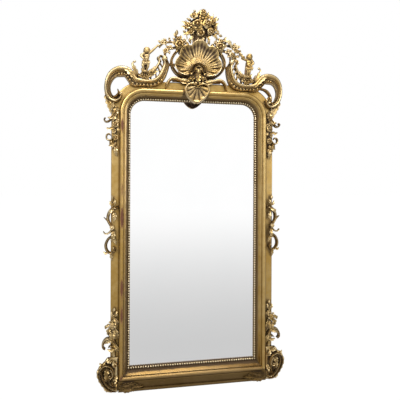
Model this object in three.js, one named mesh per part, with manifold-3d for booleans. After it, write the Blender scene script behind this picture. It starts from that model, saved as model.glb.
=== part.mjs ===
// A tall gilt pier mirror with an openwork crest, in millimetres, +Z up, front facing -Y.
// The carcass is a pine frame with rounded top corners. A gilded torus moulding and a pearl course
// surround the mirror plate, and carved ornament is planted on the front: an openwork crest with
// scrolls, a scallop shell, flowers and two putti, side drops, a base moulding and scroll feet.
// The origin is on the floor, under the middle of the bottom rail.
import * as THREE from "three";
import { mergeVertices } from "three/addons/utils/BufferGeometryUtils.js";
import Module from "manifold-3d";

const wasm = await Module();
wasm.setup();

// ---- Driving dimensions ----
const sightHalfWidth = 390; // half the visible width of the mirror
const sightHeight = 1615;
const sightCornerRadius = 85;
const baseHeight = 63; // floor to the underside of the moulding
const mouldingWidth = 63;
const borderWidth = 50; // flat gilded border outside the moulding
const borderFaceY = -30; // front plane of the border, on which the ornament is planted
const carcassDepth = 55;
const rebateSetback = 30; // sight edge to the inner face of the carcass
const seatY = 3.7; // back of the moulding's lip, against which the plate rests
const clearance = 0.3;
const glassThickness = 5;
const glassOverlap = 10; // how far the plate runs under the moulding
const filletThickness = 6;
const filletOverlap = 8;
const boardThickness = 9.4;
const battenWidth = 70;
const battenThickness = 19;
const battenInset = 33; // end of a batten to the outside of the carcass
const lowerBattenHeight = 470;
const upperBattenDrop = 345; // below the top corners' centres
const crestBoardThickness = 18;
const crestInset = 2; // how far the crest board stays inside the carving's outline
const crestLean = 1 / 15; // of its height, to the right
const scrollRelief = 40;
const galleryRelief = 26;
const ringRelief = 28;
const branchRelief = 30;
const shellRelief = 16;
const fluteRelief = 9;
const shellFlutes = 13;
const cartoucheFront = 104.5; // front of the small cartouche, ahead of the mirror plane
const footRelief = 28;
const footScrollRelief = 44;
const baseFront = 56; // front of the base moulding, ahead of the mirror plane
const mouldingArcSteps = 7;

// ---- Places that follow from them ----
const sightBottom = baseHeight + mouldingWidth;
const sightTop = sightBottom + sightHeight;
const frameHalfWidth = sightHalfWidth + mouldingWidth + borderWidth;
const frameTop = sightTop + mouldingWidth + borderWidth;
const cornerX = sightHalfWidth - sightCornerRadius;
const cornerZ = sightTop - sightCornerRadius;
const frameCornerRadius = sightCornerRadius + mouldingWidth + borderWidth;
const carcassBackY = borderFaceY + carcassDepth;
const rebateHalfWidth = sightHalfWidth + rebateSetback;
const glassFrontY = seatY + clearance;
const glassBackY = glassFrontY + glassThickness;
const filletFrontY = glassBackY + clearance;
const boardFrontY = filletFrontY + filletThickness + clearance;
const plantY = borderFaceY - clearance; // back plane of the planted ornament
const crestBackY = borderFaceY + crestBoardThickness;

// ---- Finishes ----
function finish(color, roughness, metalness) {
  return new THREE.MeshStandardMaterial({ color, roughness, metalness });
}
const gilding = finish(0xb4925a, 0.38, 0.85);
const wornGilding = finish(0x8a6238, 0.5, 0.6);
const pine = finish(0x9a7a52, 0.8, 0);
const iron = finish(0x3c3834, 0.55, 0.8);
const silvering = finish(0xe8eaec, 0.03, 1);

// ---- Solids ----
function solidOf(geometry) {
  const bare = geometry.clone();
  bare.deleteAttribute("normal");
  bare.deleteAttribute("uv");
  const merged = mergeVertices(bare, 1e-3);
  const triVerts = new Uint32Array(merged.index.array);
  const vertProperties = new Float32Array(merged.attributes.position.array);
  const solid = new wasm.Manifold(new wasm.Mesh({ numProp: 3, vertProperties, triVerts }));
  if (solid.volume() >= 0) return solid;
  for (let i = 0; i < triVerts.length; i += 3) {
    [triVerts[i + 1], triVerts[i + 2]] = [triVerts[i + 2], triVerts[i + 1]];
  }
  return new wasm.Manifold(new wasm.Mesh({ numProp: 3, vertProperties, triVerts }));
}

function geometryOf(solid) {
  const mesh = solid.getMesh();
  const stride = mesh.numProp;
  const position = new Float32Array(mesh.numVert * 3);
  for (let i = 0; i < mesh.numVert; i++) {
    position.set(mesh.vertProperties.subarray(i * stride, i * stride + 3), i * 3);
  }
  const geometry = new THREE.BufferGeometry();
  geometry.setAttribute("position", new THREE.BufferAttribute(position, 3));
  geometry.setIndex(new THREE.BufferAttribute(new Uint32Array(mesh.triVerts), 1));
  geometry.computeVertexNormals();
  return geometry;
}

function join(solids) {
  return solids.reduce((whole, solid) => whole.add(solid));
}

function cut(solid, tools) {
  return tools.reduce((rest, tool) => rest.subtract(tool), solid);
}

// The outer skin of a solid, without the slivers and blind hollows that cutting and joining can leave.
function largest(solid) {
  const bodies = solid.decompose();
  return bodies.reduce((best, body) => (body.volume() > best.volume() ? body : best));
}

function block(x0, x1, y0, y1, z0, z1) {
  const box = new THREE.BoxGeometry(x1 - x0, y1 - y0, z1 - z0);
  box.translate((x0 + x1) / 2, (y0 + y1) / 2, (z0 + z1) / 2);
  return solidOf(box);
}

// A closed body through rings of points that all follow the same 2-D section.
function loft(rings, section) {
  const count = section.length;
  const position = rings.flat(2);
  const index = [];
  for (let r = 0; r + 1 < rings.length; r++) {
    for (let i = 0; i < count; i++) {
      const a = r * count + i;
      const b = r * count + ((i + 1) % count);
      index.push(a, b, a + count, b, b + count, a + count);
    }
  }
  const cap = THREE.ShapeUtils.triangulateShape(section.map((p) => new THREE.Vector2(p[0], p[1])), []);
  const last = (rings.length - 1) * count;
  const turned = THREE.ShapeUtils.isClockWise(section.map((p) => new THREE.Vector2(p[0], p[1])));
  for (const [a, b, c] of cap) {
    if (turned) index.push(a, b, c, last + a, last + c, last + b);
    else index.push(a, c, b, last + a, last + b, last + c);
  }
  const geometry = new THREE.BufferGeometry();
  geometry.setAttribute("position", new THREE.Float32BufferAttribute(position, 3));
  geometry.setIndex(index);
  return solidOf(geometry);
}

// Everything behind the planting plane is cut away, so that ornament sits flat on its ground.
function planted(solid, backY = plantY) {
  const far = 4000;
  return solid.subtract(block(-far, far, backY, far, -far, far));
}

// A smooth run through [x, z, halfWidth] points, as evenly numbered samples with their side direction.
function route(points, steps) {
  const line = new THREE.CatmullRomCurve3(points.map(([x, z]) => new THREE.Vector3(x, 0, z)), false, "centripetal");
  const widths = new THREE.CatmullRomCurve3(
    points.map(([, , w], i) => new THREE.Vector3(i * 10, w, 0)), false, "centripetal");
  return Array.from({ length: steps + 1 }, (_, i) => {
    const at = line.getPoint(i / steps);
    const way = line.getTangent(i / steps);
    const half = Math.max(1.2, widths.getPoint(i / steps).y);
    return { x: at.x, z: at.z, nx: -way.z, nz: way.x, half };
  });
}

const domed = [[-1, 0], [-0.9, 0.55], [-0.35, 1], [0.35, 1], [0.9, 0.55], [1, 0]];
const ridged = [[-1, 0], [-0.7, 0.65], [0, 1], [0.7, 0.65], [1, 0]];
const flat = [[-1, 0], [-1, 1], [1, 1], [1, 0]];

// A carved band along a route: domed in front, flat behind.
function band(points, relief, options = {}) {
  const { section = ridged, backY = plantY, steps = points.length * 2, grow = 0 } = options;
  const rings = route(points, steps).map(({ x, z, nx, nz, half }) =>
    section.map(([across, rise]) => [
      x + nx * across * (half + grow),
      rise === 0 ? backY + grow : backY - rise * (relief + grow),
      z + nz * across * (half + grow),
    ]));
  return loft(rings, section);
}

const smallRadius = 17; // balls thinner than this get a coarser mesh
function ellipsoid(x, y, z, rx, ry, rz, options = {}) {
  const { tilt = 0, detail = Math.min(rx, rz) < smallRadius ? 0 : 1, grow = 0 } = options;
  const ball = new THREE.IcosahedronGeometry(1, detail);
  ball.scale(rx + grow, ry + grow, rz + grow);
  ball.rotateY(THREE.MathUtils.degToRad(tilt));
  ball.translate(x, y, z);
  return solidOf(ball);
}

// A limb or stem: a six-sided tube through [x, y, z, radius] points, closed to a blunt tip at both ends.
function limb(points, grow = 0, sides = 5) {
  const line = new THREE.CatmullRomCurve3(points.map(([x, y, z]) => new THREE.Vector3(x, y, z)), false, "centripetal");
  const steps = (points.length - 1) * 2 - 1;
  const frames = line.computeFrenetFrames(steps, false);
  const section = Array.from({ length: sides }, (_, i) => {
    const turn = (i / sides) * 2 * Math.PI;
    return [Math.cos(turn), Math.sin(turn)];
  });
  const rings = Array.from({ length: steps + 1 }, (_, i) => {
    const at = line.getPoint(i / steps);
    const place = (i / steps) * (points.length - 1);
    const low = Math.floor(Math.min(place, points.length - 2));
    const radius = THREE.MathUtils.lerp(points[low][3], points[low + 1][3], place - low) + grow;
    const [u, v] = [frames.normals[i], frames.binormals[i]];
    return section.map(([c, s]) => {
      const p = at.clone().addScaledVector(u, c * radius).addScaledVector(v, s * radius);
      return [p.x, p.y, p.z];
    });
  });
  return loft(rings, section);
}

// A flower seen from the front: a lobed cup on its stalk's ground, with a raised heart.
function flower(x, z, radius, options = {}) {
  const { y = -54, petals = 5, grow = 0, backY = plantY } = options;
  const count = petals * 2;
  const heartDepth = radius * 0.3;
  const layers = [[0.6, backY], [1, y], [0.5, y + heartDepth * 0.4], [0.3, y - heartDepth]];
  const outline = Array.from({ length: count }, (_, i) => {
    const turn = (i / count) * 2 * Math.PI;
    const lobe = i % 2 ? 0.8 : 1;
    return [Math.sin(turn) * lobe, Math.cos(turn) * lobe];
  });
  return loft(layers.map(([share, depth]) => outline.map(([px, pz]) => [
    x + px * (radius * share + grow), depth === backY ? depth : depth - grow, z + pz * (radius * share + grow)])), outline);
}

// ---- The moulding's section: [distance outwards from the sight edge, y] ----
const pearlSeat = 13.3;
const coveStart = 16;
const coveEnd = 31;
const listelEnd = 36;
const pearlGroundY = -4;
const coveStartY = -14;
const listelY = -50;
const torusCrestY = -65.5;
const torusRadius = 13.2;
const mouldingFootY = borderFaceY - clearance;
function mouldingSection() {
  const points = [[0, seatY], [0, pearlGroundY], [pearlSeat, pearlGroundY], [pearlSeat, coveStartY], [coveStart, coveStartY]];
  for (let i = 1; i <= 3; i++) {
    const turn = (i / 3) * (Math.PI / 2);
    points.push([coveStart + (coveEnd - coveStart) * Math.sin(turn),
      listelY + (coveStartY - listelY) * Math.cos(turn)]);
  }
  points.push([listelEnd, listelY]);
  const torusMiddle = mouldingWidth - torusRadius;
  for (let i = 0; i <= 6; i++) {
    const turn = Math.PI * (1 - i / 6);
    points.push([torusMiddle + torusRadius * Math.cos(turn),
      torusCrestY + torusRadius - torusRadius * Math.sin(turn)]);
  }
  points.push([mouldingWidth, mouldingFootY]);
  points.push([rebateSetback - clearance, mouldingFootY], [rebateSetback - clearance, seatY]);
  return points;
}

// The pearl course's section, a low half round on its own ground.
function pearlSection() {
  const inner = 0.6;
  const outer = pearlSeat - clearance;
  const middle = (inner + outer) / 2;
  const back = pearlGroundY - clearance;
  return [[inner, back], [outer, back], [outer, back - 4], [outer - 2.5, back - 8],
    [middle, back - 9.6], [inner + 2.5, back - 8], [inner, back - 4]];
}

// One straight or curved length of a section that runs round the sight opening.
const mitreGap = 0.15;
function sideRun(section, side) {
  const foot = section.map(([u, y]) => [side * (sightHalfWidth + u), y, sightBottom - u + mitreGap * 2]);
  const head = section.map(([u, y]) => [side * (sightHalfWidth + u), y, cornerZ - clearance]);
  return loft([foot, head], section);
}
function bottomRun(section) {
  const end = (side) => section.map(([u, y]) => [side * (sightHalfWidth + u - mitreGap), y, sightBottom - u]);
  return loft([end(-1), end(1)], section);
}
function topRun(section) {
  const end = (side) => section.map(([u, y]) => [side * (cornerX - clearance), y, sightTop + u]);
  return loft([end(-1), end(1)], section);
}
function arcRing(section, side, turn) {
  return section.map(([u, y]) => {
    const radius = sightCornerRadius + u;
    return [side * (cornerX + radius * Math.cos(turn)), y, cornerZ + radius * Math.sin(turn)];
  });
}
function cornerRun(section, side) {
  const rings = Array.from({ length: mouldingArcSteps + 1 }, (_, i) =>
    arcRing(section, side, (i / mouldingArcSteps) * (Math.PI / 2)));
  return loft(rings, section);
}
// The pearl course over the top: one strip round both corners.
function topPearlRun(section) {
  const quarter = (side) => Array.from({ length: mouldingArcSteps + 1 }, (_, i) =>
    arcRing(section, side, (i / mouldingArcSteps) * (Math.PI / 2)));
  return loft([...quarter(-1), ...quarter(1).reverse()], section);
}

// ---- Carcass ----
function stile(side) {
  const xs = [side * rebateHalfWidth, side * frameHalfWidth].sort((a, b) => a - b);
  return block(xs[0], xs[1], borderFaceY, carcassBackY, 0, cornerZ - clearance);
}
function bottomRail() {
  const half = rebateHalfWidth - clearance;
  return block(-half, half, borderFaceY, carcassBackY, 0, sightBottom - rebateSetback);
}
function topRail() {
  const half = cornerX - clearance;
  return block(-half, half, borderFaceY, carcassBackY, sightTop + rebateSetback, frameTop);
}
function cornerBlock(side) {
  const inner = sightCornerRadius + rebateSetback;
  const section = [[inner, borderFaceY], [frameCornerRadius, borderFaceY],
    [frameCornerRadius, carcassBackY], [inner, carcassBackY]];
  const steps = 12;
  const rings = Array.from({ length: steps + 1 }, (_, i) => section.map(([radius, y]) => {
    const turn = (i / steps) * (Math.PI / 2);
    return [side * (cornerX + radius * Math.cos(turn)), y, cornerZ + radius * Math.sin(turn)];
  }));
  return loft(rings, section);
}

// A plate with two rounded upper corners, such as the mirror plate.
function archedPlate(halfWidth, bottom, top, radius, frontY, backY) {
  const outline = new THREE.Shape();
  outline.moveTo(-halfWidth, bottom);
  outline.lineTo(halfWidth, bottom);
  outline.lineTo(halfWidth, top - radius);
  outline.absarc(halfWidth - radius, top - radius, radius, 0, Math.PI / 2);
  outline.lineTo(radius - halfWidth, top);
  outline.absarc(radius - halfWidth, top - radius, radius, Math.PI / 2, Math.PI);
  const plate = new THREE.ExtrudeGeometry(outline, { depth: backY - frontY, bevelEnabled: false, curveSegments: 8 });
  plate.rotateX(Math.PI / 2);
  plate.translate(0, backY, 0);
  return solidOf(plate);
}
const boardGap = clearance;
const boardHalfWidth = rebateHalfWidth - boardGap;
const boardTop = sightTop + rebateSetback - boardGap;
const boardRadius = sightCornerRadius + rebateSetback - boardGap;
const boardBottom = sightBottom - rebateSetback + boardGap;
const boardJoint = sightBottom + sightHeight * 0.48;
function lowerBoard() {
  return block(-boardHalfWidth, boardHalfWidth, boardFrontY, boardFrontY + boardThickness,
    boardBottom, boardJoint - clearance);
}
function upperBoard() {
  return archedPlate(boardHalfWidth, boardJoint, boardTop, boardRadius, boardFrontY, boardFrontY + boardThickness);
}
function mirrorPlate() {
  return archedPlate(sightHalfWidth + glassOverlap, sightBottom - glassOverlap, sightTop + glassOverlap,
    sightCornerRadius + glassOverlap, glassFrontY, glassBackY);
}

// Strips that hold the plate against the moulding: an angle over the plate's edge.
function filletSection() {
  const inner = glassOverlap - filletOverlap;
  const edge = glassOverlap + clearance;
  const outer = rebateSetback - clearance;
  const back = filletFrontY + filletThickness;
  return [[inner, filletFrontY], [edge, filletFrontY], [edge, glassFrontY], [outer, glassFrontY], [outer, back], [inner, back]];
}
function sideFillet(side) {
  const section = filletSection();
  const low = sightBottom + glassOverlap;
  return loft([low, cornerZ - clearance].map((z) =>
    section.map(([u, y]) => [side * (sightHalfWidth + u), y, z])), section);
}
function levelFillet(atTop) {
  const section = filletSection();
  const half = atTop ? cornerX - clearance : sightHalfWidth;
  return loft([-half, half].map((x) =>
    section.map(([u, y]) => [x, y, atTop ? sightTop + u : sightBottom - u])), section);
}
function batten(middleZ) {
  const half = frameHalfWidth - battenInset;
  const front = carcassBackY + clearance;
  return block(-half, half, front, front + battenThickness, middleZ - battenWidth / 2, middleZ + battenWidth / 2);
}

// ---- Hangers: an iron strap on each stile with a ring that swings in its eye ----
const strapWidth = 32;
const strapLength = 120;
const strapThickness = 4;
const ringWire = 3; // radius
const ringWidth = 44;
const ringDrop = 48;
const eyeOuter = 9;
const eyeClearance = 0.5;
const hangerDrop = 145; // eye axis below the top corners' centres
const hangerX = (rebateHalfWidth + frameHalfWidth) / 2;
const hangerZ = cornerZ - hangerDrop;
const eyeY = carcassBackY + clearance + eyeOuter;
function strap(side) {
  const front = carcassBackY + clearance;
  const x = side * hangerX;
  const plate = block(x - strapWidth / 2, x + strapWidth / 2, front, front + strapThickness, hangerZ, hangerZ + strapLength);
  const knuckle = new THREE.CylinderGeometry(eyeOuter, eyeOuter, strapWidth * 0.5, 12);
  knuckle.rotateZ(Math.PI / 2);
  knuckle.translate(x, eyeY, hangerZ);
  const bore = new THREE.CylinderGeometry(ringWire + eyeClearance, ringWire + eyeClearance, strapWidth, 10);
  bore.rotateZ(Math.PI / 2);
  bore.translate(x, eyeY, hangerZ);
  const heads = [0.45, 0.85].map((share) => {
    const head = new THREE.CylinderGeometry(3, 5.5, 3, 8);
    head.translate(x, front + strapThickness + 1, hangerZ + strapLength * share);
    return solidOf(head);
  });
  return join([plate, solidOf(knuckle), ...heads]).subtract(solidOf(bore));
}
// The ring is a rounded D: a straight bar through the eye and a bow below it.
function hangerRing(side) {
  const steps = 22;
  const half = ringWidth / 2;
  const lift = ringDrop - half;
  const x = side * hangerX;
  const corner = 6;
  const line = new THREE.Path();
  line.moveTo(-half + corner, 0);
  line.lineTo(half - corner, 0);
  line.absarc(half - corner, -corner, corner, Math.PI / 2, 0, true);
  line.lineTo(half, -lift);
  line.absarc(0, -lift, half, 0, -Math.PI, true);
  line.lineTo(-half, -corner);
  line.absarc(-half + corner, -corner, corner, Math.PI, Math.PI / 2, true);
  const position = [];
  const index = [];
  const round = 6;
  for (let i = 0; i < steps; i++) {
    const at = line.getPointAt(i / steps);
    const way = line.getTangentAt(i / steps);
    for (let k = 0; k < round; k++) {
      const turn = (k / round) * 2 * Math.PI;
      const out = Math.cos(turn) * ringWire;
      position.push(x - way.y * out + at.x, eyeY + Math.sin(turn) * ringWire, hangerZ + at.y + way.x * out);
      const a = i * round + k;
      const b = i * round + ((k + 1) % round);
      const c = ((i + 1) % steps) * round + k;
      const d = ((i + 1) % steps) * round + ((k + 1) % round);
      index.push(a, b, c, b, d, c);
    }
  }
  const geometry = new THREE.BufferGeometry();
  geometry.setAttribute("position", new THREE.Float32BufferAttribute(position, 3));
  geometry.setIndex(index);
  return solidOf(geometry);
}

// ---- Crest. Heights are above the frame's top; an outward place is offset + share * cornerX ----
const up = (height) => frameTop + height;
const out = (side, share, offset) => side * (share * cornerX + offset);
const crestRun = (side, points) =>
  points.map(([share, offset, height, half]) => [out(side, share, offset), up(height), half]);

// The crest leans a little to the right: every point of it moves across by a share of its height.
const leanFoot = up(-145); // nothing moves at this height
function leaned(solid) {
  const geometry = geometryOf(solid);
  const place = geometry.attributes.position;
  for (let i = 0; i < place.count; i++) {
    place.setX(i, place.getX(i) + crestLean * (place.getZ(i) - leanFoot));
  }
  const triVerts = new Uint32Array(geometry.index.array);
  return new wasm.Manifold(new wasm.Mesh({ numProp: 3, vertProperties: place.array, triVerts }));
}

const scrollLine = [
  // [share, offset, height, half width], from the loop's inner end to the volute
  [1, 143, -88, 7], [1, 157, -115, 13], [1, 179, -124, 17], [1, 207, -108, 18], [1, 223, -75, 18.5],
  [1, 226, -34, 19], [1, 211, 12, 24], [1, 188, 36, 28], [1, 155, 46, 32], [1, 120, 42, 30],
  [1, 89, 8, 29], [0.85, 119, -10, 29], [0.6, 142, -18, 21], [0.4, 138, -12, 23], [0.2, 164, 14, 23.5],
  [0.1, 174.5, 57, 21.5], [0, 196, 98, 19], [0, 203, 124, 14],
];
const bowlStart = 11; // the scroll's points from here on make the bowl
const scrollBall = [205, 133, 17]; // across, height, radius
const galleryLine = [
  [0.85, 91, 30, 6], [0.6, 132, 35, 8], [0.5, 135.5, 49, 8], [0.35, 154, 69, 8],
  [0.2, 188, 90, 8], [0.1, 208, 112, 8], [0.1, 211, 130, 7], [0.1, 222, 142, 4],
];
const galleryBars = [[0.655, 0.12], [0.69, 0.26], [0.725, 0.4], [0.785, 0.56], [0.85, 0.7], [0.91, 0.84]];
const galleryBarHalf = 4;
const galleryBarShare = 0.8; // of the gallery's relief
const lineSteps = 200;
function barLines(side) {
  const main = route(crestRun(side, scrollLine), lineSteps);
  const rim = route(crestRun(side, galleryLine), lineSteps);
  return galleryBars.map(([onScroll, onRim]) => {
    const from = main[Math.round(onScroll * lineSteps)];
    const to = rim[Math.round(onRim * lineSteps)];
    return [[from.x, from.z, galleryBarHalf], [to.x, to.z, galleryBarHalf]];
  });
}
function scrollWithGallery(side, grow = 0) {
  const main = band(crestRun(side, scrollLine), scrollRelief, { grow, steps: 36, section: domed });
  const rim = band(crestRun(side, galleryLine), galleryRelief, { grow, steps: 10 });
  const bars = barLines(side).map((line) =>
    band(line, galleryRelief * galleryBarShare, { grow, steps: 1, section: flat }));
  const [x, height, radius] = scrollBall;
  const ball = ellipsoid(side * x, plantY - scrollRelief / 2, up(height), radius, scrollRelief * 0.6, radius, { grow });
  return join([main, rim, ball, ...bars]);
}

const leafRelief = 30;
const hornLeaf = [[0.6, 168, 18, 10], [0.6, 190, 46, 9], [0.6, 200, 78, 8], [0.6, 198, 112, 5]];
const sprayLeaf = [[0.6, 104, 52, 7], [0.6, 88, 72, 6], [0.6, 78, 90, 3]];
const bowlMounds = [[0.6, 154, 34, 16, 16], [0.6, 132, 30, 20, 16], [0.6, 106, 34, 14, 14]];
function bowlLeaves(side, grow = 0) {
  const mounds = bowlMounds.map(([share, offset, height, rx, rz]) =>
    ellipsoid(out(side, share, offset), -48, up(height), rx, 24, rz, { grow }));
  return join([...mounds, band(crestRun(side, hornLeaf), leafRelief, { grow, steps: 8 }),
    band(crestRun(side, sprayLeaf), leafRelief * 0.8, { grow, steps: 6 })]);
}

const ringLine = [
  [0, 131, 192, 7], [0, 152, 166, 8], [0, 165, 130, 8.5], [0, 160.5, 96, 8], [0, 144, 66, 7.5], [0, 121, 45, 6],
];
const shellRing = (side, grow = 0) => band(crestRun(side, ringLine), ringRelief, { grow, steps: 14 });

const branchLine = [
  [0, 46, -2, 7], [0, 78, 3, 9], [0, 104, 14, 9], [0, 127, 20, 10], [0, 152, 14, 10], [0, 171, -4, 8.5],
  [0, 183, -26, 6], [0, 187, -42, 4],
];
const branch = (side, grow = 0) => band(crestRun(side, branchLine), branchRelief, { grow, steps: 15 });

// The scallop: [angle above the horizontal, radius] of half its rim, from the lower curl to the top.
const shellHeight = 83; // its hinge above the frame's top
const shellInner = 26;
const shellRim = [
  [-32, 99], [-25, 112], [-18, 116], [-10, 126], [-2, 138], [4, 145], [11, 147], [18, 146], [29, 140], [38, 150],
  [48, 164], [60, 160], [69, 148], [78, 166], [90, 172],
];
function rimRadius(degrees) {
  const folded = degrees > 90 ? 180 - degrees : degrees;
  const i = shellRim.findIndex(([angle]) => angle >= folded);
  if (i <= 0) return shellRim[0][1];
  const [a, b] = [shellRim[i - 1], shellRim[i]];
  return THREE.MathUtils.mapLinear(folded, a[0], b[0], a[1], b[1]);
}
function shell(grow = 0, options = {}) {
  const { across = shellFlutes * 3, relief = fluteRelief } = options;
  const rings = 3;
  const first = shellRim[0][0];
  const front = [];
  const back = [];
  for (let i = 0; i <= across; i++) {
    const degrees = first + ((180 - 2 * first) * i) / across;
    const turn = THREE.MathUtils.degToRad(degrees);
    for (let j = 0; j <= rings; j++) {
      const share = j / rings;
      const radius = THREE.MathUtils.lerp(shellInner, rimRadius(degrees) + grow, share);
      const wave = Math.cos(((degrees - 90) / (180 - 2 * first)) * shellFlutes * 2 * Math.PI);
      const dish = shellRelief * (0.55 + 0.45 * (2 * share - 1) ** 2);
      const y = plantY - dish - relief * share * (0.5 + 0.5 * wave) - (fluteRelief - relief) * share - grow;
      const [x, z] = [radius * Math.cos(turn), up(shellHeight) + radius * Math.sin(turn)];
      front.push([x, y, z]);
      back.push([x, plantY, z]);
    }
  }
  const row = rings + 1;
  const total = front.length;
  const index = [];
  const quad = (a, b, c, d) => index.push(a, b, c, a, c, d);
  for (let i = 0; i < across; i++) {
    for (let j = 0; j < rings; j++) {
      const a = i * row + j;
      quad(a, a + row, a + row + 1, a + 1);
      quad(total + a, total + a + 1, total + a + row + 1, total + a + row);
    }
    const rim = i * row + rings;
    quad(rim, rim + row, total + rim + row, total + rim);
    const hub = i * row;
    quad(hub, total + hub, total + hub + row, hub + row);
  }
  for (let j = 0; j < rings; j++) {
    quad(j, j + 1, total + j + 1, total + j);
    const a = across * row + j;
    quad(a, total + a, total + a + 1, a + 1);
  }
  const geometry = new THREE.BufferGeometry();
  geometry.setAttribute("position", new THREE.Float32BufferAttribute([...front, ...back].flat(), 3));
  geometry.setIndex(index);
  return solidOf(geometry);
}

// The small cartouche over the top moulding: a heart-shaped dish with two volutes.
const cartoucheHalf = [
  [0, -136], [22, -124], [48, -98], [68, -72], [74, -50], [66, -31], [44, -14], [26, -10], [14, -20], [0, -26],
];
const cartoucheMiddle = -66;
const cartoucheRings = [[0.94, 0], [1, 10], [1, -12], [0.86, 0], [0.7, 0], [0.55, -9]]; // [scale, step in y]
const cartoucheLobe = { across: 38, height: -14, rx: 15, ry: 16, rz: 13 };
const farSide = 3000; // reach of a cutting block beyond the frame
function cartouche(grow = 0) {
  const mirrored = cartoucheHalf.slice(1).reverse().map(([x, h]) => [-x, h]);
  const line = [...cartoucheHalf.slice(0, -1), ...mirrored];
  const front = -cartoucheFront - grow;
  const rings = cartoucheRings.map(([scale, step], i) => {
    const y = i < 2 ? plantY - step : front - step;
    return line.map(([x, h]) => {
      const rise = h - cartoucheMiddle;
      return [x * scale + Math.sign(x) * grow, y, up(cartoucheMiddle + rise * scale + Math.sign(rise) * grow)];
    });
  });
  const { across, height, rx, ry, rz } = cartoucheLobe;
  const lobes = [-1, 1].map((side) => ellipsoid(side * across, front + 12, up(height), rx, ry, rz, { grow }));
  const behind = block(-farSide, farSide, torusCrestY - clearance - 0.4, farSide, 0, sightTop + mouldingWidth + clearance);
  return planted(join([loft(rings, line), ...lobes])).subtract(behind);
}

// The drop over the shell's hinge: a hood, two volutes and a hanging leaf.
function boss(grow = 0) {
  return join([
    ellipsoid(0, -58, up(86), 40, 26, 24, { grow }),
    ellipsoid(0, -62, up(48), 30, 30, 34, { grow }),
    ellipsoid(0, -60, up(10), 22, 28, 24, { grow }),
    ellipsoid(-38, -52, up(40), 15, 24, 15, { grow }),
    ellipsoid(38, -52, up(40), 15, 24, 15, { grow }),
  ]);
}

// The bouquet. Its flowers and leaves are placed from the mound's middle: [across, rise, ...].
const moundX = 6;
const moundHeight = 350; // above the frame's top
const mid = (rise) => up(moundHeight + rise);
const moundOutline = [
  [0, -62], [45, -50], [78, -30], [74, 18], [50, 40], [30, 66], [0, 74], [-40, 60], [-78, 12], [-76, -20], [-48, -48],
];
const moundRings = [[1, 0], [1, 10], [0.6, 26]]; // [scale, depth in front of the planted plane]
const bouquetFlowers = [
  // [across, rise, radius, y]
  [4, 76, 22, -66], [-51, 52, 22, -68], [33, 2, 30, -74], [-80, -10, 22, -64], [71, 22, 22, -66],
  [5, 38, 24, -62], [61, -38, 24, -66], [-3, -50, 26, -68],
];
const bouquetRose = [-29, -8, 34, -78];
const bouquetLeaves = [
  // [across0, rise0, across1, rise1, half width]
  [-75, -5, -126, 12, 13], [-75, -20, -129, -16, 12], [-45, -50, -112, -62, 12], [65, 16, 67, 82, 11],
  [68, 20, 96, 62, 12], [68, -5, 112, 22, 12], [53, -20, 116, -32, 12], [-20, -40, -42, -88, 12],
  [40, -40, 30, -88, 11], [63, -30, 102, -78, 9],
];
const bouquetLeafRelief = 22;
const leafTip = 2; // half width at a leaf's tip
function bouquet(grow = 0) {
  const leaves = bouquetLeaves.map(([x0, h0, x1, h1, half]) =>
    band([[moundX + x0, mid(h0), half], [moundX + (x0 + x1) / 2, mid((h0 + h1) / 2), half],
      [moundX + x1, mid(h1), leafTip]], bouquetLeafRelief, { grow, steps: 2 }));
  const mound = loft(moundRings.map(([share, depth]) =>
    moundOutline.map(([x, rise]) => [moundX + x * share, plantY - depth - grow, mid(rise * share)])), moundOutline);
  const flowers = bouquetFlowers.map(([x, rise, r, y]) => flower(moundX + x, mid(rise), r, { y, grow }));
  const [x, rise, r, y] = bouquetRose;
  return join([mound, ...flowers, flower(moundX + x, mid(rise), r, { petals: 6, y, grow }), ...leaves]);
}

// Roses on the shell's shoulders, with the garland that runs down to the putto's hand.
const garlandFlowers = [
  // [across, height, radius, y]
  [126, 222, 28, -66], [131, 254, 17, -56], [98, 245, 17, -54], [222, 238, 15, -54], [200, 186, 17, -60],
  [176, 206, 14, -54],
];
const garlandRope = [[118, 234, 4], [160, 248, 4], [196, 243, 4], [224, 234, 4], [246, 210, 4]];
const garlandDrop = [[130, 215, 6], [176, 206, 6], [200, 186, 6]];
const garlandRelief = 18;
function garland(side, grow = 0) {
  const strand = (points, steps) =>
    band(points.map(([x, h, half]) => [side * x, up(h), half]), garlandRelief, { grow, steps });
  const flowers = garlandFlowers.map(([x, h, radius, y], i) =>
    flower(side * x, up(h), radius, { grow, y, petals: i === 0 ? 6 : 5 }));
  return join([...flowers, strand(garlandRope, 6), strand(garlandDrop, 4)]);
}

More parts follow.
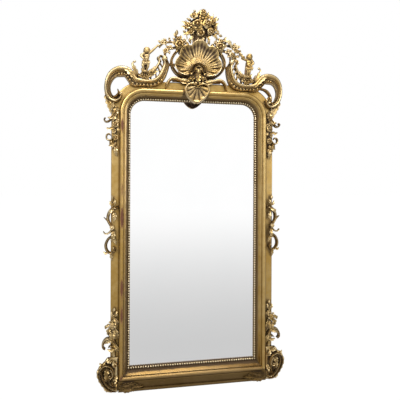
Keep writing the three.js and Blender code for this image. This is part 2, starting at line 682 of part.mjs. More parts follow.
// A standing putto: heights are above its feet, outwards is away from the shell.
const puttoHeight = 50; // feet above the frame's top
const puttoMiddle = 135;
const puttoPose = {
  left: {
    raised: [[-12, 108], [-34, 126], [-58, 148], [-72, 156]],
    resting: [[16, 106], [32, 92], [20, 76]],
    turn: -3,
  },
  right: {
    raised: [[-12, 106], [-32, 108], [-52, 122], [-68, 142]],
    resting: [[16, 106], [28, 84], [14, 68]],
    turn: 4,
  },
};
const puttoBody = [
  // [across, y, height, rx, ry, rz, tilt]
  [0, -58, 88, 22, 24, 24, 0], [0, -60, 64, 22.5, 23, 20, 0], [0, -46, 74, 17, 18, 34, 0], [0, -60, 44, 26, 20, 13, 12],
];
const puttoHead = [-62, 122, 21.5, 21, 23];
const puttoLegs = [[[-9, 46], [-16, 26], [-12, 4]], [[10, 46], [16, 24], [12, 4]]];
const armRadius = 9;
const legRadius = 12.5;
function putto(side, grow = 0) {
  const pose = side < 0 ? puttoPose.left : puttoPose.right;
  const at = (dx, dy, dz) => [out(side, 0.6, puttoMiddle + dx), dy, up(puttoHeight + dz)];
  const arm = (line) => limb(line.map(([dx, dz], i) => [...at(dx, -62 - i * 3, dz), armRadius - i * 1.3]), grow);
  const leg = (line) => limb(line.map(([dx, dz], i) => [...at(dx, -60, dz), legRadius - i * 2.2]), grow);
  const [headY, headHeight, ...headSize] = puttoHead;
  return planted(join([
    ellipsoid(...at(pose.turn, headY, headHeight), ...headSize, { grow }),
    ...puttoBody.map(([dx, y, dz, rx, ry, rz, tilt]) =>
      ellipsoid(...at(dx, y, dz), rx, ry, rz, { grow, tilt: side * tilt })),
    ...puttoLegs.map(leg),
    arm(pose.raised),
    arm(pose.resting),
  ]));
}

// The openwork board behind the crest, cut to the outline of the carving.
const boardDiscs = [
  // [across, height, rx, rz]
  [0, shellHeight, 118, 98], [0, 180, 92, 66], [moundX + 5, moundHeight - 10, 92, 56], [moundX + 1, moundHeight + 50, 40, 30],
];
const boardNeck = [-44, 44, 180]; // from, to, foot
const boardFoot = [80, 60]; // half width, height
const boardStrips = [
  // [share, offset, height, half width] along each strip behind a carving, on both sides
  [[0, 100, 108, 9], [0, 200, 108, 9]],
  [[0, 131, 190, 6], [0, 128, 214, 6]],
  [[0, 60, 8, 11], [0, 150, 12, 11]],
  [[0, 70, 200, 12], [0, 126, 226, 12]],
  [[0, 126, 230, 7], [0, 160, 246, 6], [0, 222, 236, 7], [0, 244, 210, 6]],
  [[0, 130, 215, 7], [0, 176, 206, 7], [0, 200, 186, 7], [0, 204, 140, 6]],
  [[0.6, 132, -20, 12], [0.6, 135, 60, 16], [0.6, 135, 150, 12]],
  [[0.6, 94, 50, 8], [0.6, 135, 38, 14], [0.6, 172, 34, 9], [0.6, 196, 70, 6]],
];
const garlandDisc = [126, 226, 24];
function crestBoard() {
  const flatBand = (points, steps) => band(points.map(([x, z, w]) => [x, z, Math.max(3, w - crestInset)]),
    crestBoardThickness, { section: flat, backY: crestBackY, steps });
  const disc = ([x, height, rx, rz]) => {
    const round = new THREE.CylinderGeometry(1, 1, crestBoardThickness, 12);
    round.scale(rx, 1, rz);
    round.translate(x, (borderFaceY + crestBackY) / 2, up(height));
    return solidOf(round);
  };
  const [neckFrom, neckTo, neckFoot] = boardNeck;
  const [footHalf, footHeight] = boardFoot;
  const parts = [...boardDiscs.map(disc),
    block(neckFrom, neckTo, borderFaceY, crestBackY, up(neckFoot), mid(-20)),
    block(-footHalf, footHalf, borderFaceY, crestBackY, up(-1), up(footHeight))];
  const [discX, discHeight, discRadius] = garlandDisc;
  for (const side of [-1, 1]) {
    parts.push(flatBand(crestRun(side, scrollLine.slice(bowlStart)), 9), flatBand(crestRun(side, galleryLine), 6),
      flatBand(crestRun(side, ringLine), 8));
    barLines(side).slice(2, 4).forEach((line) => parts.push(flatBand(line, 1)));
    parts.push(disc([side * discX, discHeight, discRadius, discRadius]));
    boardStrips.forEach((points) => parts.push(flatBand(crestRun(side, points), points.length)));
  }
  const shoulder = frameCornerRadius + clearance;
  const wide = frameHalfWidth + clearance;
  const notch = join([
    block(-cornerX, cornerX, -farSide, farSide, 0, frameTop + clearance),
    block(-wide, wide, -farSide, farSide, 0, cornerZ),
    ...[-1, 1].map((side) => {
      const round = new THREE.CylinderGeometry(shoulder, shoulder, farSide, 48);
      round.translate(side * cornerX, 0, cornerZ);
      return solidOf(round);
    }),
  ]);
  return leaned(join(parts)).subtract(notch);
}

// Stepped brackets that tie the crest board to the back of the top rail.
const braceWidth = 40;
const braceRise = 150;
const braceReach = 110;
const braceX = 62;
const braceThickness = battenThickness;
function crestBrace(side) {
  const upperFront = crestBackY + clearance;
  const lowerFront = carcassBackY + clearance;
  const back = lowerFront + braceThickness;
  const section = [[upperFront, up(clearance)], [upperFront, up(braceRise)], [upperFront + braceThickness, up(braceRise)],
    [back, up(braceRise * 0.35)], [back, up(-braceReach)], [lowerFront, up(-braceReach)], [lowerFront, up(clearance)]];
  return loft([side * braceX - braceWidth / 2, side * braceX + braceWidth / 2].map((x) => section.map(([y, z]) => [x, y, z])), section);
}

// ---- Side ornament. Outward places are from the middle of the border ----
const borderMiddle = frameHalfWidth - borderWidth / 2;
const edge = (side, offset) => side * (borderMiddle + offset);
const edgeBand = (side, points, relief, grow, steps) =>
  band(points.map(([offset, z, half]) => [edge(side, offset), z, half]), relief, { grow, steps });

const festoonTop = cornerZ + 40;
function festoon(side, grow = 0) {
  const z = (drop) => festoonTop - drop;
  const bud = (offset, drop, rx, rz) => ellipsoid(edge(side, offset), -42, z(drop), rx, 22, rz, { grow });
  return planted(join([
    edgeBand(side, [[-2, z(0), 5], [-2, z(50), 14], [-1, z(120), 16], [0, z(190), 14], [0, z(250), 12], [-5, z(292), 3]], 14, grow, 8),
    edgeBand(side, [[-4, z(32), 9], [17, z(66), 8], [40, z(94), 6], [60, z(97), 5], [65, z(82), 3.5]], 26, grow, 8),
    flower(edge(side, 0), z(112), 22, { grow, y: -50 }),
    flower(edge(side, -1), z(188), 18, { grow, y: -48 }),
    edgeBand(side, [[8, z(182), 6], [32, z(206), 6], [50, z(196), 5], [48, z(176), 5], [34, z(168), 4]], 24, grow, 8),
    bud(28, 220, 12, 13), bud(4, 236, 15, 14), bud(0, 150, 15, 12), bud(-2, 262, 12, 14), bud(0, 14, 14, 16),
  ]));
}

const midDropTop = sightBottom + sightHeight * 0.64;
function midDrop(side, grow = 0) {
  const z = (drop) => midDropTop - drop;
  return planted(join([
    ellipsoid(edge(side, 16), -40, z(8), 8, 16, 12, { grow }),
    edgeBand(side, [[14, z(10), 3], [13, z(46), 5], [14, z(76), 4]], 16, grow, 6),
    ellipsoid(edge(side, 12), -42, z(38), 10, 18, 13, { grow }),
    edgeBand(side, [[-10, z(74), 6], [10, z(72), 9], [34, z(98), 9], [40, z(138), 8], [24, z(172), 7], [12, z(196), 7]], 24, grow, 10),
    edgeBand(side, [[20, z(172), 5], [48, z(142), 4], [66, z(126), 2.5]], 20, grow, 5),
    ellipsoid(edge(side, 17), -44, z(186), 14, 24, 14, { grow }),
    edgeBand(side, [[14, z(196), 7], [44, z(222), 5], [68, z(210), 2]], 20, grow, 6),
    edgeBand(side, [[10, z(196), 7], [16, z(232), 7], [42, z(256), 8], [53, z(290), 8], [43, z(324), 8], [20, z(338), 7], [1, z(326), 6], [1, z(306), 3.5]], 26, grow, 14),
    edgeBand(side, [[20, z(336), 5], [18, z(378), 2]], 12, grow, 3),
  ]));
}

const sprayTop = sightBottom + sightHeight * 0.23;
const footTop = 206;
function lowerSpray(side, grow = 0) {
  const z = (drop) => sprayTop - drop;
  const leaf = (points, steps) => edgeBand(side, points, 20, grow, steps);
  return planted(join([
    ellipsoid(edge(side, 2), -42, z(9), 9, 18, 11, { grow }),
    edgeBand(side, [[2, z(8), 4], [4, z(60), 6], [8, z(130), 8], [6, z(200), 10], [4, footTop + 3, 16]], 18, grow, 6),
    flower(edge(side, 14), z(96), 26, { grow }),
    leaf([[6, z(60), 8], [-12, z(76), 8], [-20, z(100), 2]], 5),
    leaf([[20, z(115), 8], [30, z(140), 7], [22, z(160), 2]], 5),
    leaf([[0, z(130), 10], [-10, z(160), 10], [-18, z(190), 3]], 5),
    edgeBand(side, [[-6, z(206), 8], [17, z(182), 9], [47, z(184), 9], [66, z(210), 7], [64, z(236), 4]], 26, grow, 9),
    edgeBand(side, [[-16, z(250), 4], [2, z(232), 7], [24, z(226), 6], [36, z(232), 2]], 20, grow, 5),
  ]));
}

// Scroll foot: a rocaille bracket with a C-scroll on it. Outline points are [offset, height].
const footOutline = [[-20, 0], [16, 0], [52, 28], [84, 72], [103, 120], [84, 152], [58, 176], [36, 204], [-20, 204]];
const footScroll = [[-14, 62, 4], [6, 52, 6], [18, 76, 8], [10, 110, 8], [22, 148, 8], [52, 160, 9], [76, 138, 9], [74, 100, 9], [54, 58, 9], [22, 26, 8], [-10, 18, 7]];
function scrollFoot(side, grow = 0) {
  const ring = (scale, y) => footOutline.map(([offset, z]) => {
    const [midX, midZ] = [25, 100];
    const dz = z === 0 ? z : midZ + (z - midZ) * scale;
    return [edge(side, midX + (offset - midX) * scale), y, dz];
  });
  const plate = loft([ring(1, plantY), ring(1, plantY - footRelief * 0.7), ring(0.88, plantY - footRelief)], footOutline);
  return join([plate, edgeBand(side, footScroll, footScrollRelief, grow, 22)]);
}

// ---- Base ----
const baseLength = frameHalfWidth - borderWidth + 2; // half
function baseMoulding() {
  const top = baseHeight - clearance;
  const section = [[plantY, 0], [-baseFront, 0], [-baseFront, 14], [-baseFront + 6, 20], [-baseFront + 6, top - 12], [-baseFront + 12, top], [plantY, top]];
  return loft([-baseLength, baseLength].map((x) => section.map(([y, z]) => [x, y, z])), section);
}
function baseLeaf(side) {
  const backY = -baseFront - clearance;
  const x = (inset) => side * (baseLength - inset);
  const run = (points, relief, steps) => band(points.map(([inset, z, half]) => [x(inset), z, half]), relief, { backY, steps });
  return join([
    run([[6, 30, 8], [40, 22, 13], [80, 34, 13], [118, 24, 9], [146, 32, 3]], 12, 12),
    run([[16, 46, 6], [48, 42, 9], [84, 50, 5], [104, 48, 2]], 9, 8),
    run([[20, 14, 5], [60, 12, 7], [100, 12, 3]], 8, 6),
  ]);
}

// ---- Assembly ----
const mirror = new THREE.Group();
function add(name, solid, material) {
  const mesh = new THREE.Mesh(geometryOf(largest(solid)), material);
  mesh.name = name;
  mirror.add(mesh);
}
const fat = clearance + 0.1;
const bothSides = [[-1, "left"], [1, "right"]];

const moulding = mouldingSection();
const pearls = pearlSection();
for (const [side, hand] of bothSides) {
  add("stile_" + hand, stile(side), gilding);
  add("corner_block_" + hand, cornerBlock(side), gilding);
  add("moulding_" + hand, sideRun(moulding, side), side < 0 ? wornGilding : gilding);
  add("moulding_corner_" + hand, cornerRun(moulding, side), gilding);
  add("pearl_course_" + hand, sideRun(pearls, side), gilding);
  add("glass_fillet_" + hand, sideFillet(side), pine);
  add("hanger_strap_" + hand, strap(side), iron);
  add("hanger_ring_" + hand, hangerRing(side), iron);
}
add("top_rail", topRail(), gilding);
add("bottom_rail", bottomRail(), gilding);
add("moulding_top", topRun(moulding), gilding);
add("moulding_bottom", bottomRun(moulding), gilding);
add("pearl_course_top", topPearlRun(pearls), gilding);
add("pearl_course_bottom", bottomRun(pearls), gilding);
add("mirror_plate", mirrorPlate(), silvering);
add("glass_fillet_top", levelFillet(true), pine);
add("glass_fillet_bottom", levelFillet(false), pine);
add("backboard_lower", lowerBoard(), pine);
add("backboard_upper", upperBoard(), pine);
add("batten_lower", batten(lowerBattenHeight), pine);
add("batten_upper", batten(cornerZ - upperBattenDrop), pine);

add("crest_board", crestBoard(), pine);
add("crest_shell", leaned(shell()), gilding);
add("crest_bouquet", leaned(planted(bouquet())), gilding);
add("crest_cartouche", leaned(cartouche()), gilding);
const bossCuts = [shell(fat, { across: shellFlutes, relief: 0 }), cartouche(fat)];
bothSides.forEach(([side]) => bossCuts.push(shellRing(side, fat), branch(side, fat)));
add("crest_boss", leaned(cut(planted(boss()), bossCuts)), gilding);
for (const [side, hand] of bothSides) {
  const scrollTool = scrollWithGallery(side, fat);
  const puttoTool = putto(side, fat);
  const garlandCuts = [shellRing(side, fat), scrollTool, puttoTool, shell(fat), bouquet(fat)];
  add("crest_scroll_" + hand, leaned(scrollWithGallery(side)), gilding);
  add("crest_ring_" + hand, leaned(shellRing(side)), gilding);
  add("crest_branch_" + hand, leaned(branch(side)), gilding);
  add("putto_" + hand, leaned(putto(side)), gilding);
  add("bowl_leaves_" + hand, leaned(cut(planted(bowlLeaves(side)), [scrollTool, puttoTool])), gilding);
  add("garland_" + hand, leaned(cut(planted(garland(side)), garlandCuts)), gilding);
  add("crest_brace_" + hand, crestBrace(side), pine);
  add("side_festoon_" + hand, cut(festoon(side), [leaned(scrollTool)]), gilding);
  add("side_drop_" + hand, midDrop(side), gilding);
  add("scroll_foot_" + hand, scrollFoot(side), gilding);
  add("lower_spray_" + hand, cut(lowerSpray(side), [scrollFoot(side, fat)]), gilding);
  add("base_leaf_" + hand, baseLeaf(side), gilding);
}
add("base_moulding", baseMoulding(), gilding);

export default mirror;
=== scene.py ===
# The looks of a tall gilt pier mirror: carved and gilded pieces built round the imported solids.
# Shapes are worked out in millimetres in the part's own frame (front towards -Y, floor at zero) and
# become meshes in metres. A carving is a list of swept bands, leaves, petals, balls and stems.
import math

import bpy
import numpy as np
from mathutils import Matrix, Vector


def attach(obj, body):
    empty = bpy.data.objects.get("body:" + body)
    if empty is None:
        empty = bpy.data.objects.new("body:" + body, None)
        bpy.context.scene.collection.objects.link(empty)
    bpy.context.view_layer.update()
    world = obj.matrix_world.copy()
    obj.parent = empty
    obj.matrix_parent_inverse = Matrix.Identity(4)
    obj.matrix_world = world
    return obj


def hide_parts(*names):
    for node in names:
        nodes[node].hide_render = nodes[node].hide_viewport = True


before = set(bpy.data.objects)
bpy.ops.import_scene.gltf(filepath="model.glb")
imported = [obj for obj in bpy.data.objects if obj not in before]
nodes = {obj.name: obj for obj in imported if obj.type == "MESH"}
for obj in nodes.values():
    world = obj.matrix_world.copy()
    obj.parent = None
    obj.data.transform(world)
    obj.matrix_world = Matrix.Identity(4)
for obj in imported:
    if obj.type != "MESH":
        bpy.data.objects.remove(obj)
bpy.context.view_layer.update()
MM = 0.001

# ---- The part's sizes, in millimetres, as in its source ----
SIGHT_HALF = 390
SIGHT_BOTTOM = 126
SIGHT_TOP = 1741
SIGHT_RADIUS = 85
MOULDING = 63
BORDER = 50
FRAME_HALF = SIGHT_HALF + MOULDING + BORDER
FRAME_TOP = SIGHT_TOP + MOULDING + BORDER
CORNER_X = SIGHT_HALF - SIGHT_RADIUS
CORNER_Z = SIGHT_TOP - SIGHT_RADIUS
BORDER_MIDDLE = FRAME_HALF - BORDER / 2
BORDER_Y = -30.0
PLANT_Y = -30.3  # the backs of the carvings, a hair before the border
BACK_Y = 25.0
REBATE = 30
PEARL_SEAT = 13.3
PEARL_RADIUS = 6.3
PEARL_PITCH = 15.0
PEARL_Y = -8.6
SHELL_Z = FRAME_TOP + 83
CREST_LEAN = 1 / 15  # of its height, to the right
LEAN_FOOT = -145  # height above the frame at which nothing moves
GLUE_GAP = 0.3
BACK_STEP = 0.05  # the backs of crossing bands stand this far apart, so that no two share a plane
BACK_STEPS = 10


def up(height):
    return FRAME_TOP + height


def leaned(points):
    """The crest leans a little to the right: every point moves across by a share of its height."""
    moved = points.copy()
    moved[:, 0] += CREST_LEAN * (points[:, 2] - up(LEAN_FOOT))
    return moved


def out(share, offset):
    """Distance from the middle of a place that keeps to the frame's corner."""
    return share * CORNER_X + offset


# ---- Shapes ----
def grid_quads(rows, columns, wrap=False):
    r, c = np.meshgrid(np.arange(rows - 1), np.arange(columns if wrap else columns - 1), indexing="ij")
    across = (c + 1) % columns
    return np.stack([r * columns + c, (r + 1) * columns + c, (r + 1) * columns + across,
                     r * columns + across], -1).reshape(-1, 4)


def unit(vectors):
    return vectors / np.maximum(np.linalg.norm(vectors, axis=-1, keepdims=True), 1e-9)


def smooth_run(points, count, span=2):
    """Even rows along a smooth curve through the given rows. The first `span` columns are its path."""
    rows = np.array(points, float)
    chords = np.sqrt(np.maximum(np.linalg.norm(np.diff(rows[:, :span], axis=0), axis=1), 1e-6))
    knots = np.concatenate([[0], np.cumsum(chords)])
    slopes = np.gradient(rows, knots, axis=0) if len(rows) > 2 else np.repeat(
        (rows[1:] - rows[:1]) / knots[-1], 2, axis=0)
    fine = np.linspace(0, knots[-1], count * 6 + 1)
    i = np.clip(np.searchsorted(knots, fine, side="right") - 1, 0, len(rows) - 2)
    gap = (knots[i + 1] - knots[i])[:, None]
    t = ((fine - knots[i])[:, None]) / gap
    curve = ((2 * t**3 - 3 * t**2 + 1) * rows[i] + (t**3 - 2 * t**2 + t) * gap * slopes[i]
             + (3 * t**2 - 2 * t**3) * rows[i + 1] + (t**3 - t**2) * gap * slopes[i + 1])
    lengths = np.concatenate([[0], np.cumsum(np.linalg.norm(np.diff(curve[:, :span], axis=0), axis=1))])
    even = np.linspace(0, lengths[-1], count + 1)
    return np.stack([np.interp(even, lengths, column) for column in curve.T], 1), even


class Carving:
    """Closed shapes, in millimetres, that make up one piece."""

    def __init__(self):
        self.points = []
        self.quads = []
        self.caps = []
        self.count = 0

    def add(self, points, quads, caps=()):
        """Takes a closed shape and turns it right side out if need be."""
        points = np.asarray(points, float).reshape(-1, 3)
        quads = np.asarray(quads, int).reshape(-1, 4)
        centre = points.mean(0)
        a, b, c, d = (points[quads[:, k]] - centre for k in range(4))
        volume = np.einsum("ij,ij->", a, np.cross(b, c)) + np.einsum("ij,ij->", a, np.cross(c, d))
        for cap in caps:
            ring = points[list(cap)] - centre
            volume += np.einsum("ij,ij->", np.broadcast_to(ring[0], ring[1:-1].shape),
                                np.cross(ring[1:-1], ring[2:]))
        if volume < 0:
            quads = quads[:, ::-1]
            caps = [tuple(reversed(cap)) for cap in caps]
        self.quads.append(quads + self.count)
        self.caps += [tuple(int(i) + self.count for i in cap) for cap in caps]
        self.points.append(points)
        self.count += len(points)

    def add_run(self, grid):
        """Takes a grid of rings, a row to each ring, and closes it at both ends."""
        rows, columns = np.shape(grid)[:2]
        last = (rows - 1) * columns
        caps = [tuple(range(columns)), tuple(range(last + columns - 1, last - 1, -1))]
        self.add(grid, grid_quads(rows, columns, wrap=True), caps)

    def take(self, other, mirror=False):
        """Adds another carving, mirrored left to right if asked."""
        flip = np.array([-1.0 if mirror else 1.0, 1, 1])
        for points in other.points:
            self.points.append(points * flip)
        self.quads += [(quads[:, ::-1] if mirror else quads) + self.count for quads in other.quads]
        self.caps += [tuple(i + self.count for i in (reversed(cap) if mirror else cap)) for cap in other.caps]
        self.count += other.count


def mirrored(carving):
    copy = Carving()
    copy.take(carving, mirror=True)
    return copy


# Sections of a band: how far across, from -1 to 1, and how far proud, from 0 at the back to 1.
def arc_section(steps, shoulder):
    turns = np.linspace(-math.pi / 2, math.pi / 2, steps)
    dome = np.stack([np.sin(turns), shoulder + (1 - shoulder) * np.cos(turns)], 1)
    return np.vstack([[[-1, 0]], dome, [[1, 0]]])


ROUND = arc_section(13, 0.3)
RIMMED = np.array([
    (-1, 0), (-1, 0.5), (-0.97, 0.8), (-0.88, 0.97), (-0.78, 1), (-0.68, 0.93), (-0.61, 0.74), (-0.56, 0.6),
    (-0.4, 0.6), (-0.2, 0.66), (0, 0.68), (0.2, 0.66), (0.4, 0.6),
    (0.56, 0.6), (0.61, 0.74), (0.68, 0.93), (0.78, 1), (0.88, 0.97), (0.97, 0.8), (1, 0.5), (1, 0)])
# The scroll: a bright round rim along its outer edge, a thin fillet, then a hollow channel and an inner bead.
CHANNELLED = np.array([
    (-1, 0), (-1, 0.44), (-0.95, 0.66), (-0.84, 0.85), (-0.68, 0.96), (-0.52, 1), (-0.36, 0.98), (-0.2, 0.9),
    (-0.08, 0.76), (-0.03, 0.66), (0, 0.76), (0.06, 0.8), (0.12, 0.78), (0.17, 0.62), (0.3, 0.5), (0.5, 0.46),
    (0.7, 0.5), (0.8, 0.58), (0.84, 0.68), (0.9, 0.72), (0.96, 0.68), (1, 0.52), (1, 0)])
CREASED = np.array([
    (-1, 0), (-1, 0.3), (-0.92, 0.5), (-0.7, 0.78), (-0.45, 0.95), (-0.25, 1), (-0.1, 0.9), (0, 0.8),
    (0.1, 0.9), (0.25, 1), (0.45, 0.95), (0.7, 0.78), (0.92, 0.5), (1, 0.3), (1, 0)])
REEDED = np.array([
    (-1, 0), (-1, 0.45), (-0.9, 0.66), (-0.7, 0.76), (-0.52, 0.7), (-0.42, 0.6), (-0.36, 0.78), (-0.2, 0.96),
    (0, 1), (0.2, 0.96), (0.36, 0.78), (0.42, 0.6), (0.52, 0.7), (0.7, 0.76), (0.9, 0.66), (1, 0.45), (1, 0)])


def sweep(carving, points, section=ROUND, relief=24.0, count=None, back=PLANT_Y, punch=0.0, pitch=15.0):
    """A band along [x, z, half width, share of relief] points, flat behind. Punching dents its middle."""
    back = back - BACK_STEP * (len(carving.points) % BACK_STEPS)
    rows = [list(p) + [1.0] * (4 - len(p)) for p in points]
    length = sum(math.dist(a[:2], b[:2]) for a, b in zip(rows, rows[1:]))
    line, along = smooth_run(rows, count or max(10, int(length / 4)))
    way = unit(np.gradient(line[:, :2], axis=0))
    side = np.stack([-way[:, 1], way[:, 0]], 1)
    half = np.maximum(line[:, 2], 0.6)[:, None]
    rise = relief * line[:, 3:4] * section[None, :, 1]
    if punch:
        dents = np.maximum(0, np.cos(along * 2 * math.pi / pitch))[:, None] ** 2
        rise = rise - punch * dents * np.exp(-((section[None, :, 0] / 0.36) ** 2)) * (section[None, :, 1] > 0)
    across = section[None, :, 0] * half
    x = line[:, :1] + side[:, :1] * across
    z = line[:, 1:2] + side[:, 1:] * across
    carving.add_run(np.stack([x, back - rise, z], -1))


VOLUTE_STEPS = 14


def spiral(x, z, heading, radius, turns, hand, half, tip_half, rise=1.0):
    """Points [x, z, half width, relief] of a volute that winds in to the left (1) or right (-1)."""
    start = math.radians(heading)
    centre = (x - hand * radius * math.sin(start), z + hand * radius * math.cos(start))
    first = start - hand * math.pi / 2
    made = []
    for i in range(1, VOLUTE_STEPS + 1):
        t = i / VOLUTE_STEPS
        reach = radius * (1 - 0.8 * t)
        turn = first + hand * turns * 2 * math.pi * t
        made.append((centre[0] + reach * math.cos(turn), centre[1] + reach * math.sin(turn),
                     half + (tip_half - half) * t, 1 + (rise - 1) * t))
    return made


def ball(carving, x, y, z, rx, ry=None, rz=None, segments=14, rings=9):
    """A ball, or an egg with three half widths."""
    ry = rx if ry is None else ry
    rz = rx if rz is None else rz
    lat = np.linspace(0, math.pi, rings + 1)[1:-1]
    lon = np.linspace(0, 2 * math.pi, segments, endpoint=False)
    body = np.stack([np.sin(lat)[:, None] * np.cos(lon), np.sin(lat)[:, None] * np.sin(lon),
                     np.repeat(np.cos(lat)[:, None], segments, 1)], -1) * (rx, ry, rz)
    points = np.vstack([body.reshape(-1, 3), [[0, 0, rz], [0, 0, -rz]]]) + (x, y, z)
    top, bottom = (rings - 1) * segments, (rings - 1) * segments + 1
    low = (rings - 2) * segments
    caps = [(top, i, (i + 1) % segments) for i in range(segments)]
    caps += [(bottom, low + (i + 1) % segments, low + i) for i in range(segments)]
    carving.add(points, grid_quads(rings - 1, segments, wrap=True), caps)


def tube(carving, points, sides=9):
    """A stem through [x, y, z, radius] points, closed at both ends."""
    count = max(6, len(points) * 5)
    line, _ = smooth_run(points, count, span=3)
    way = unit(np.gradient(line[:, :3], axis=0))
    first = unit(np.cross(way, np.broadcast_to((0.13, 1.0, 0.07), way.shape)))
    second = np.cross(way, first)
    turns = np.linspace(0, 2 * math.pi, sides, endpoint=False)
    ring = first[:, None] * np.cos(turns)[None, :, None] + second[:, None] * np.sin(turns)[None, :, None]
    grid = line[:, None, :3] + ring * np.maximum(line[:, 3:4, None], 0.4)
    carving.add_run(grid)


def thicken(carving, front, thickness):
    """Closes a grid of points into a thin solid, `thickness` deep behind its face."""
    rows, columns = front.shape[:2]
    normal = unit(np.cross(np.gradient(front, axis=0), np.gradient(front, axis=1)))
    if normal[..., 1].mean() > 0:
        normal = -normal
    rear = front - normal * thickness
    points = np.concatenate([front.reshape(-1, 3), rear.reshape(-1, 3)])
    face = grid_quads(rows, columns)
    total = rows * columns
    edge = list(range(columns)) + [r * columns + columns - 1 for r in range(1, rows)]
    edge += [total - 1 - c for c in range(1, columns)] + [r * columns for r in range(rows - 2, 0, -1)]
    edge = np.array(edge)
    nearby = np.roll(edge, -1)
    rim = np.stack([edge, edge + total, nearby + total, nearby], 1)
    carving.add(points, np.vstack([face, face[:, ::-1] + total, rim[:, ::-1]]))


def leaf(carving, spine, half, lobes=0, cup=0.25, thickness=2.2, curl=0.0):
    """A leaf along [x, y, z] points. Lobes cut its edge, cup lifts its sides, curl turns its tip forward."""
    line, along = smooth_run(spine, max(12, lobes * 7), span=3)
    t = (along / along[-1])[:, None]
    way = unit(np.gradient(line[:, :3], axis=0))
    across = unit(np.cross(way, np.broadcast_to((0.0, -1.0, 0.0), way.shape)))
    face = np.cross(across, way)
    s = np.linspace(-1, 1, 11)[None, :]
    shape = np.sin(math.pi * np.clip(t, 0.02, 0.985) ** 0.62) ** 0.8
    if lobes:
        shape = shape * (1 - 0.42 * np.abs(np.cos(math.pi * lobes * t)) ** 3 * (t < 0.96))
    width = half * np.maximum(shape, 0.04)
    veins = 0.1 * np.cos(2 * math.pi * (lobes or 3) * (t - 0.1 * np.abs(s))) * np.abs(s)
    lift = width * (cup * s**2 - 0.16 * np.exp(-((s / 0.16) ** 2)) - veins) + curl * half * t**3
    grid = (line[:, None, :3] + across[:, None] * (width * s)[..., None]
            + way[:, None] * (0.35 * width * np.abs(s) ** 1.5)[..., None] + face[:, None] * lift[..., None])
    thicken(carving, grid, thickness)


def basis(facing):
    n = unit(np.array(facing, float))
    e1 = unit(np.cross((0, 0, 1.0), n)) if abs(n[2]) < 0.9 else np.array([1.0, 0, 0])
    return n, e1, np.cross(n, e1)


def petal(carving, centre, facing, turn, inner, outer, spread, lift, cup, roll, rows=7, columns=7):
    """A petal from inner to outer radius: `lift` proud at its tip, its sides cupped, its edge rolled back."""
    n, e1, e2 = basis(facing)
    v = np.linspace(0, 1, rows)[:, None]
    u = np.linspace(-1, 1, columns)[None, :]
    reach = (inner + (outer - inner) * v) * (1 - 0.16 * u**2 * v)
    turns = turn + spread * u * (0.3 + 0.7 * np.sqrt(v))
    height = lift * v**1.2 + cup * u**2 * v - roll * np.maximum(0, v - 0.6) ** 2 * 6.2
    grid = (np.array(centre, float) + e1 * (reach * np.cos(turns))[..., None]
            + e2 * (reach * np.sin(turns))[..., None] + n * height[..., None])
    thicken(carving, grid, max(0.9, outer * 0.07))


def rose(carving, x, y, z, radius, facing=(0, -1, 0), rounds=3, turn=0.0):
    """A full-blown rose of rounds of cupped petals round a tight heart."""
    rings = [(1.0, 0.16, 5, 0.1, 0.26), (0.76, 0.42, 5, 0.2, 0.16), (0.5, 0.6, 4, 0.24, 0.05)][:rounds]
    for k, (reach, lift, count, cup, roll) in enumerate(rings):
        for i in range(count):
            petal(carving, (x, y, z), facing, turn + k * 0.7 + i * 2 * math.pi / count, radius * 0.12,
                  radius * reach, 3.6 / count, radius * lift, radius * cup, radius * roll)
    n, _, _ = basis(facing)
    heart = np.array((x, y, z)) + n * radius * 0.42
    ball(carving, *heart, radius * 0.2, segments=9, rings=6)
    foot = np.array((x, y, z)) - n * radius * 0.1
    ball(carving, *foot, radius * 0.55, segments=10, rings=6)


def daisy(carving, x, y, z, radius, facing=(0, -1, 0), petals=8, turn=0.0):
    """An open flower with narrow petals round a button."""
    for i in range(petals):
        petal(carving, (x, y, z), facing, turn + i * 2 * math.pi / petals, radius * 0.2, radius,
              2.5 / petals, radius * 0.22, radius * 0.14, radius * 0.1, rows=6, columns=5)
    n, _, _ = basis(facing)
    ball(carving, *(np.array((x, y, z)) + n * radius * 0.1), radius * 0.34, segments=10, rings=7)
    ball(carving, *(np.array((x, y, z)) - n * radius * 0.15), radius * 0.4, segments=8, rings=5)


def bud(carving, base, tip, radius):
    """A closed bud or pod from base to tip, with four ribs along it."""
    base, tip = np.array(base, float), np.array(tip, float)
    _, e1, e2 = basis(tip - base)
    t = np.linspace(0, 1, 10)[:, None]
    turns = np.linspace(0, 2 * math.pi, 16, endpoint=False)[None, :]
    reach = radius * np.maximum(np.sin(math.pi * t**0.75), 0.06) ** 0.85 * (1 + 0.13 * np.cos(4 * turns))
    carving.add_run(base + (tip - base) * t[..., None] + e1 * (reach * np.cos(turns))[..., None]
                    + e2 * (reach * np.sin(turns))[..., None])


FLAT = np.array([(-1, 0), (-1, 0.94), (-0.94, 1), (0.94, 1), (1, 0.94), (1, 0)])
TWIN = np.array([
    (-1, 0), (-1, 0.5), (-0.92, 0.82), (-0.72, 1), (-0.5, 0.94), (-0.3, 0.7), (-0.12, 0.52), (0.12, 0.52),
    (0.3, 0.62), (0.5, 0.78), (0.72, 0.82), (0.92, 0.66), (1, 0.4), (1, 0)])


def crest_line(rows):
    """Control points [share of the corner, offset, height above the frame, half width] on the right side."""
    return [(out(share, offset), up(height), half) for share, offset, height, half in rows]


def crest_spine(rows):
    """A leaf's points from [share of the corner, offset, y, height above the frame] rows."""
    return [(out(share, offset), y, up(height)) for share, offset, y, height in rows]


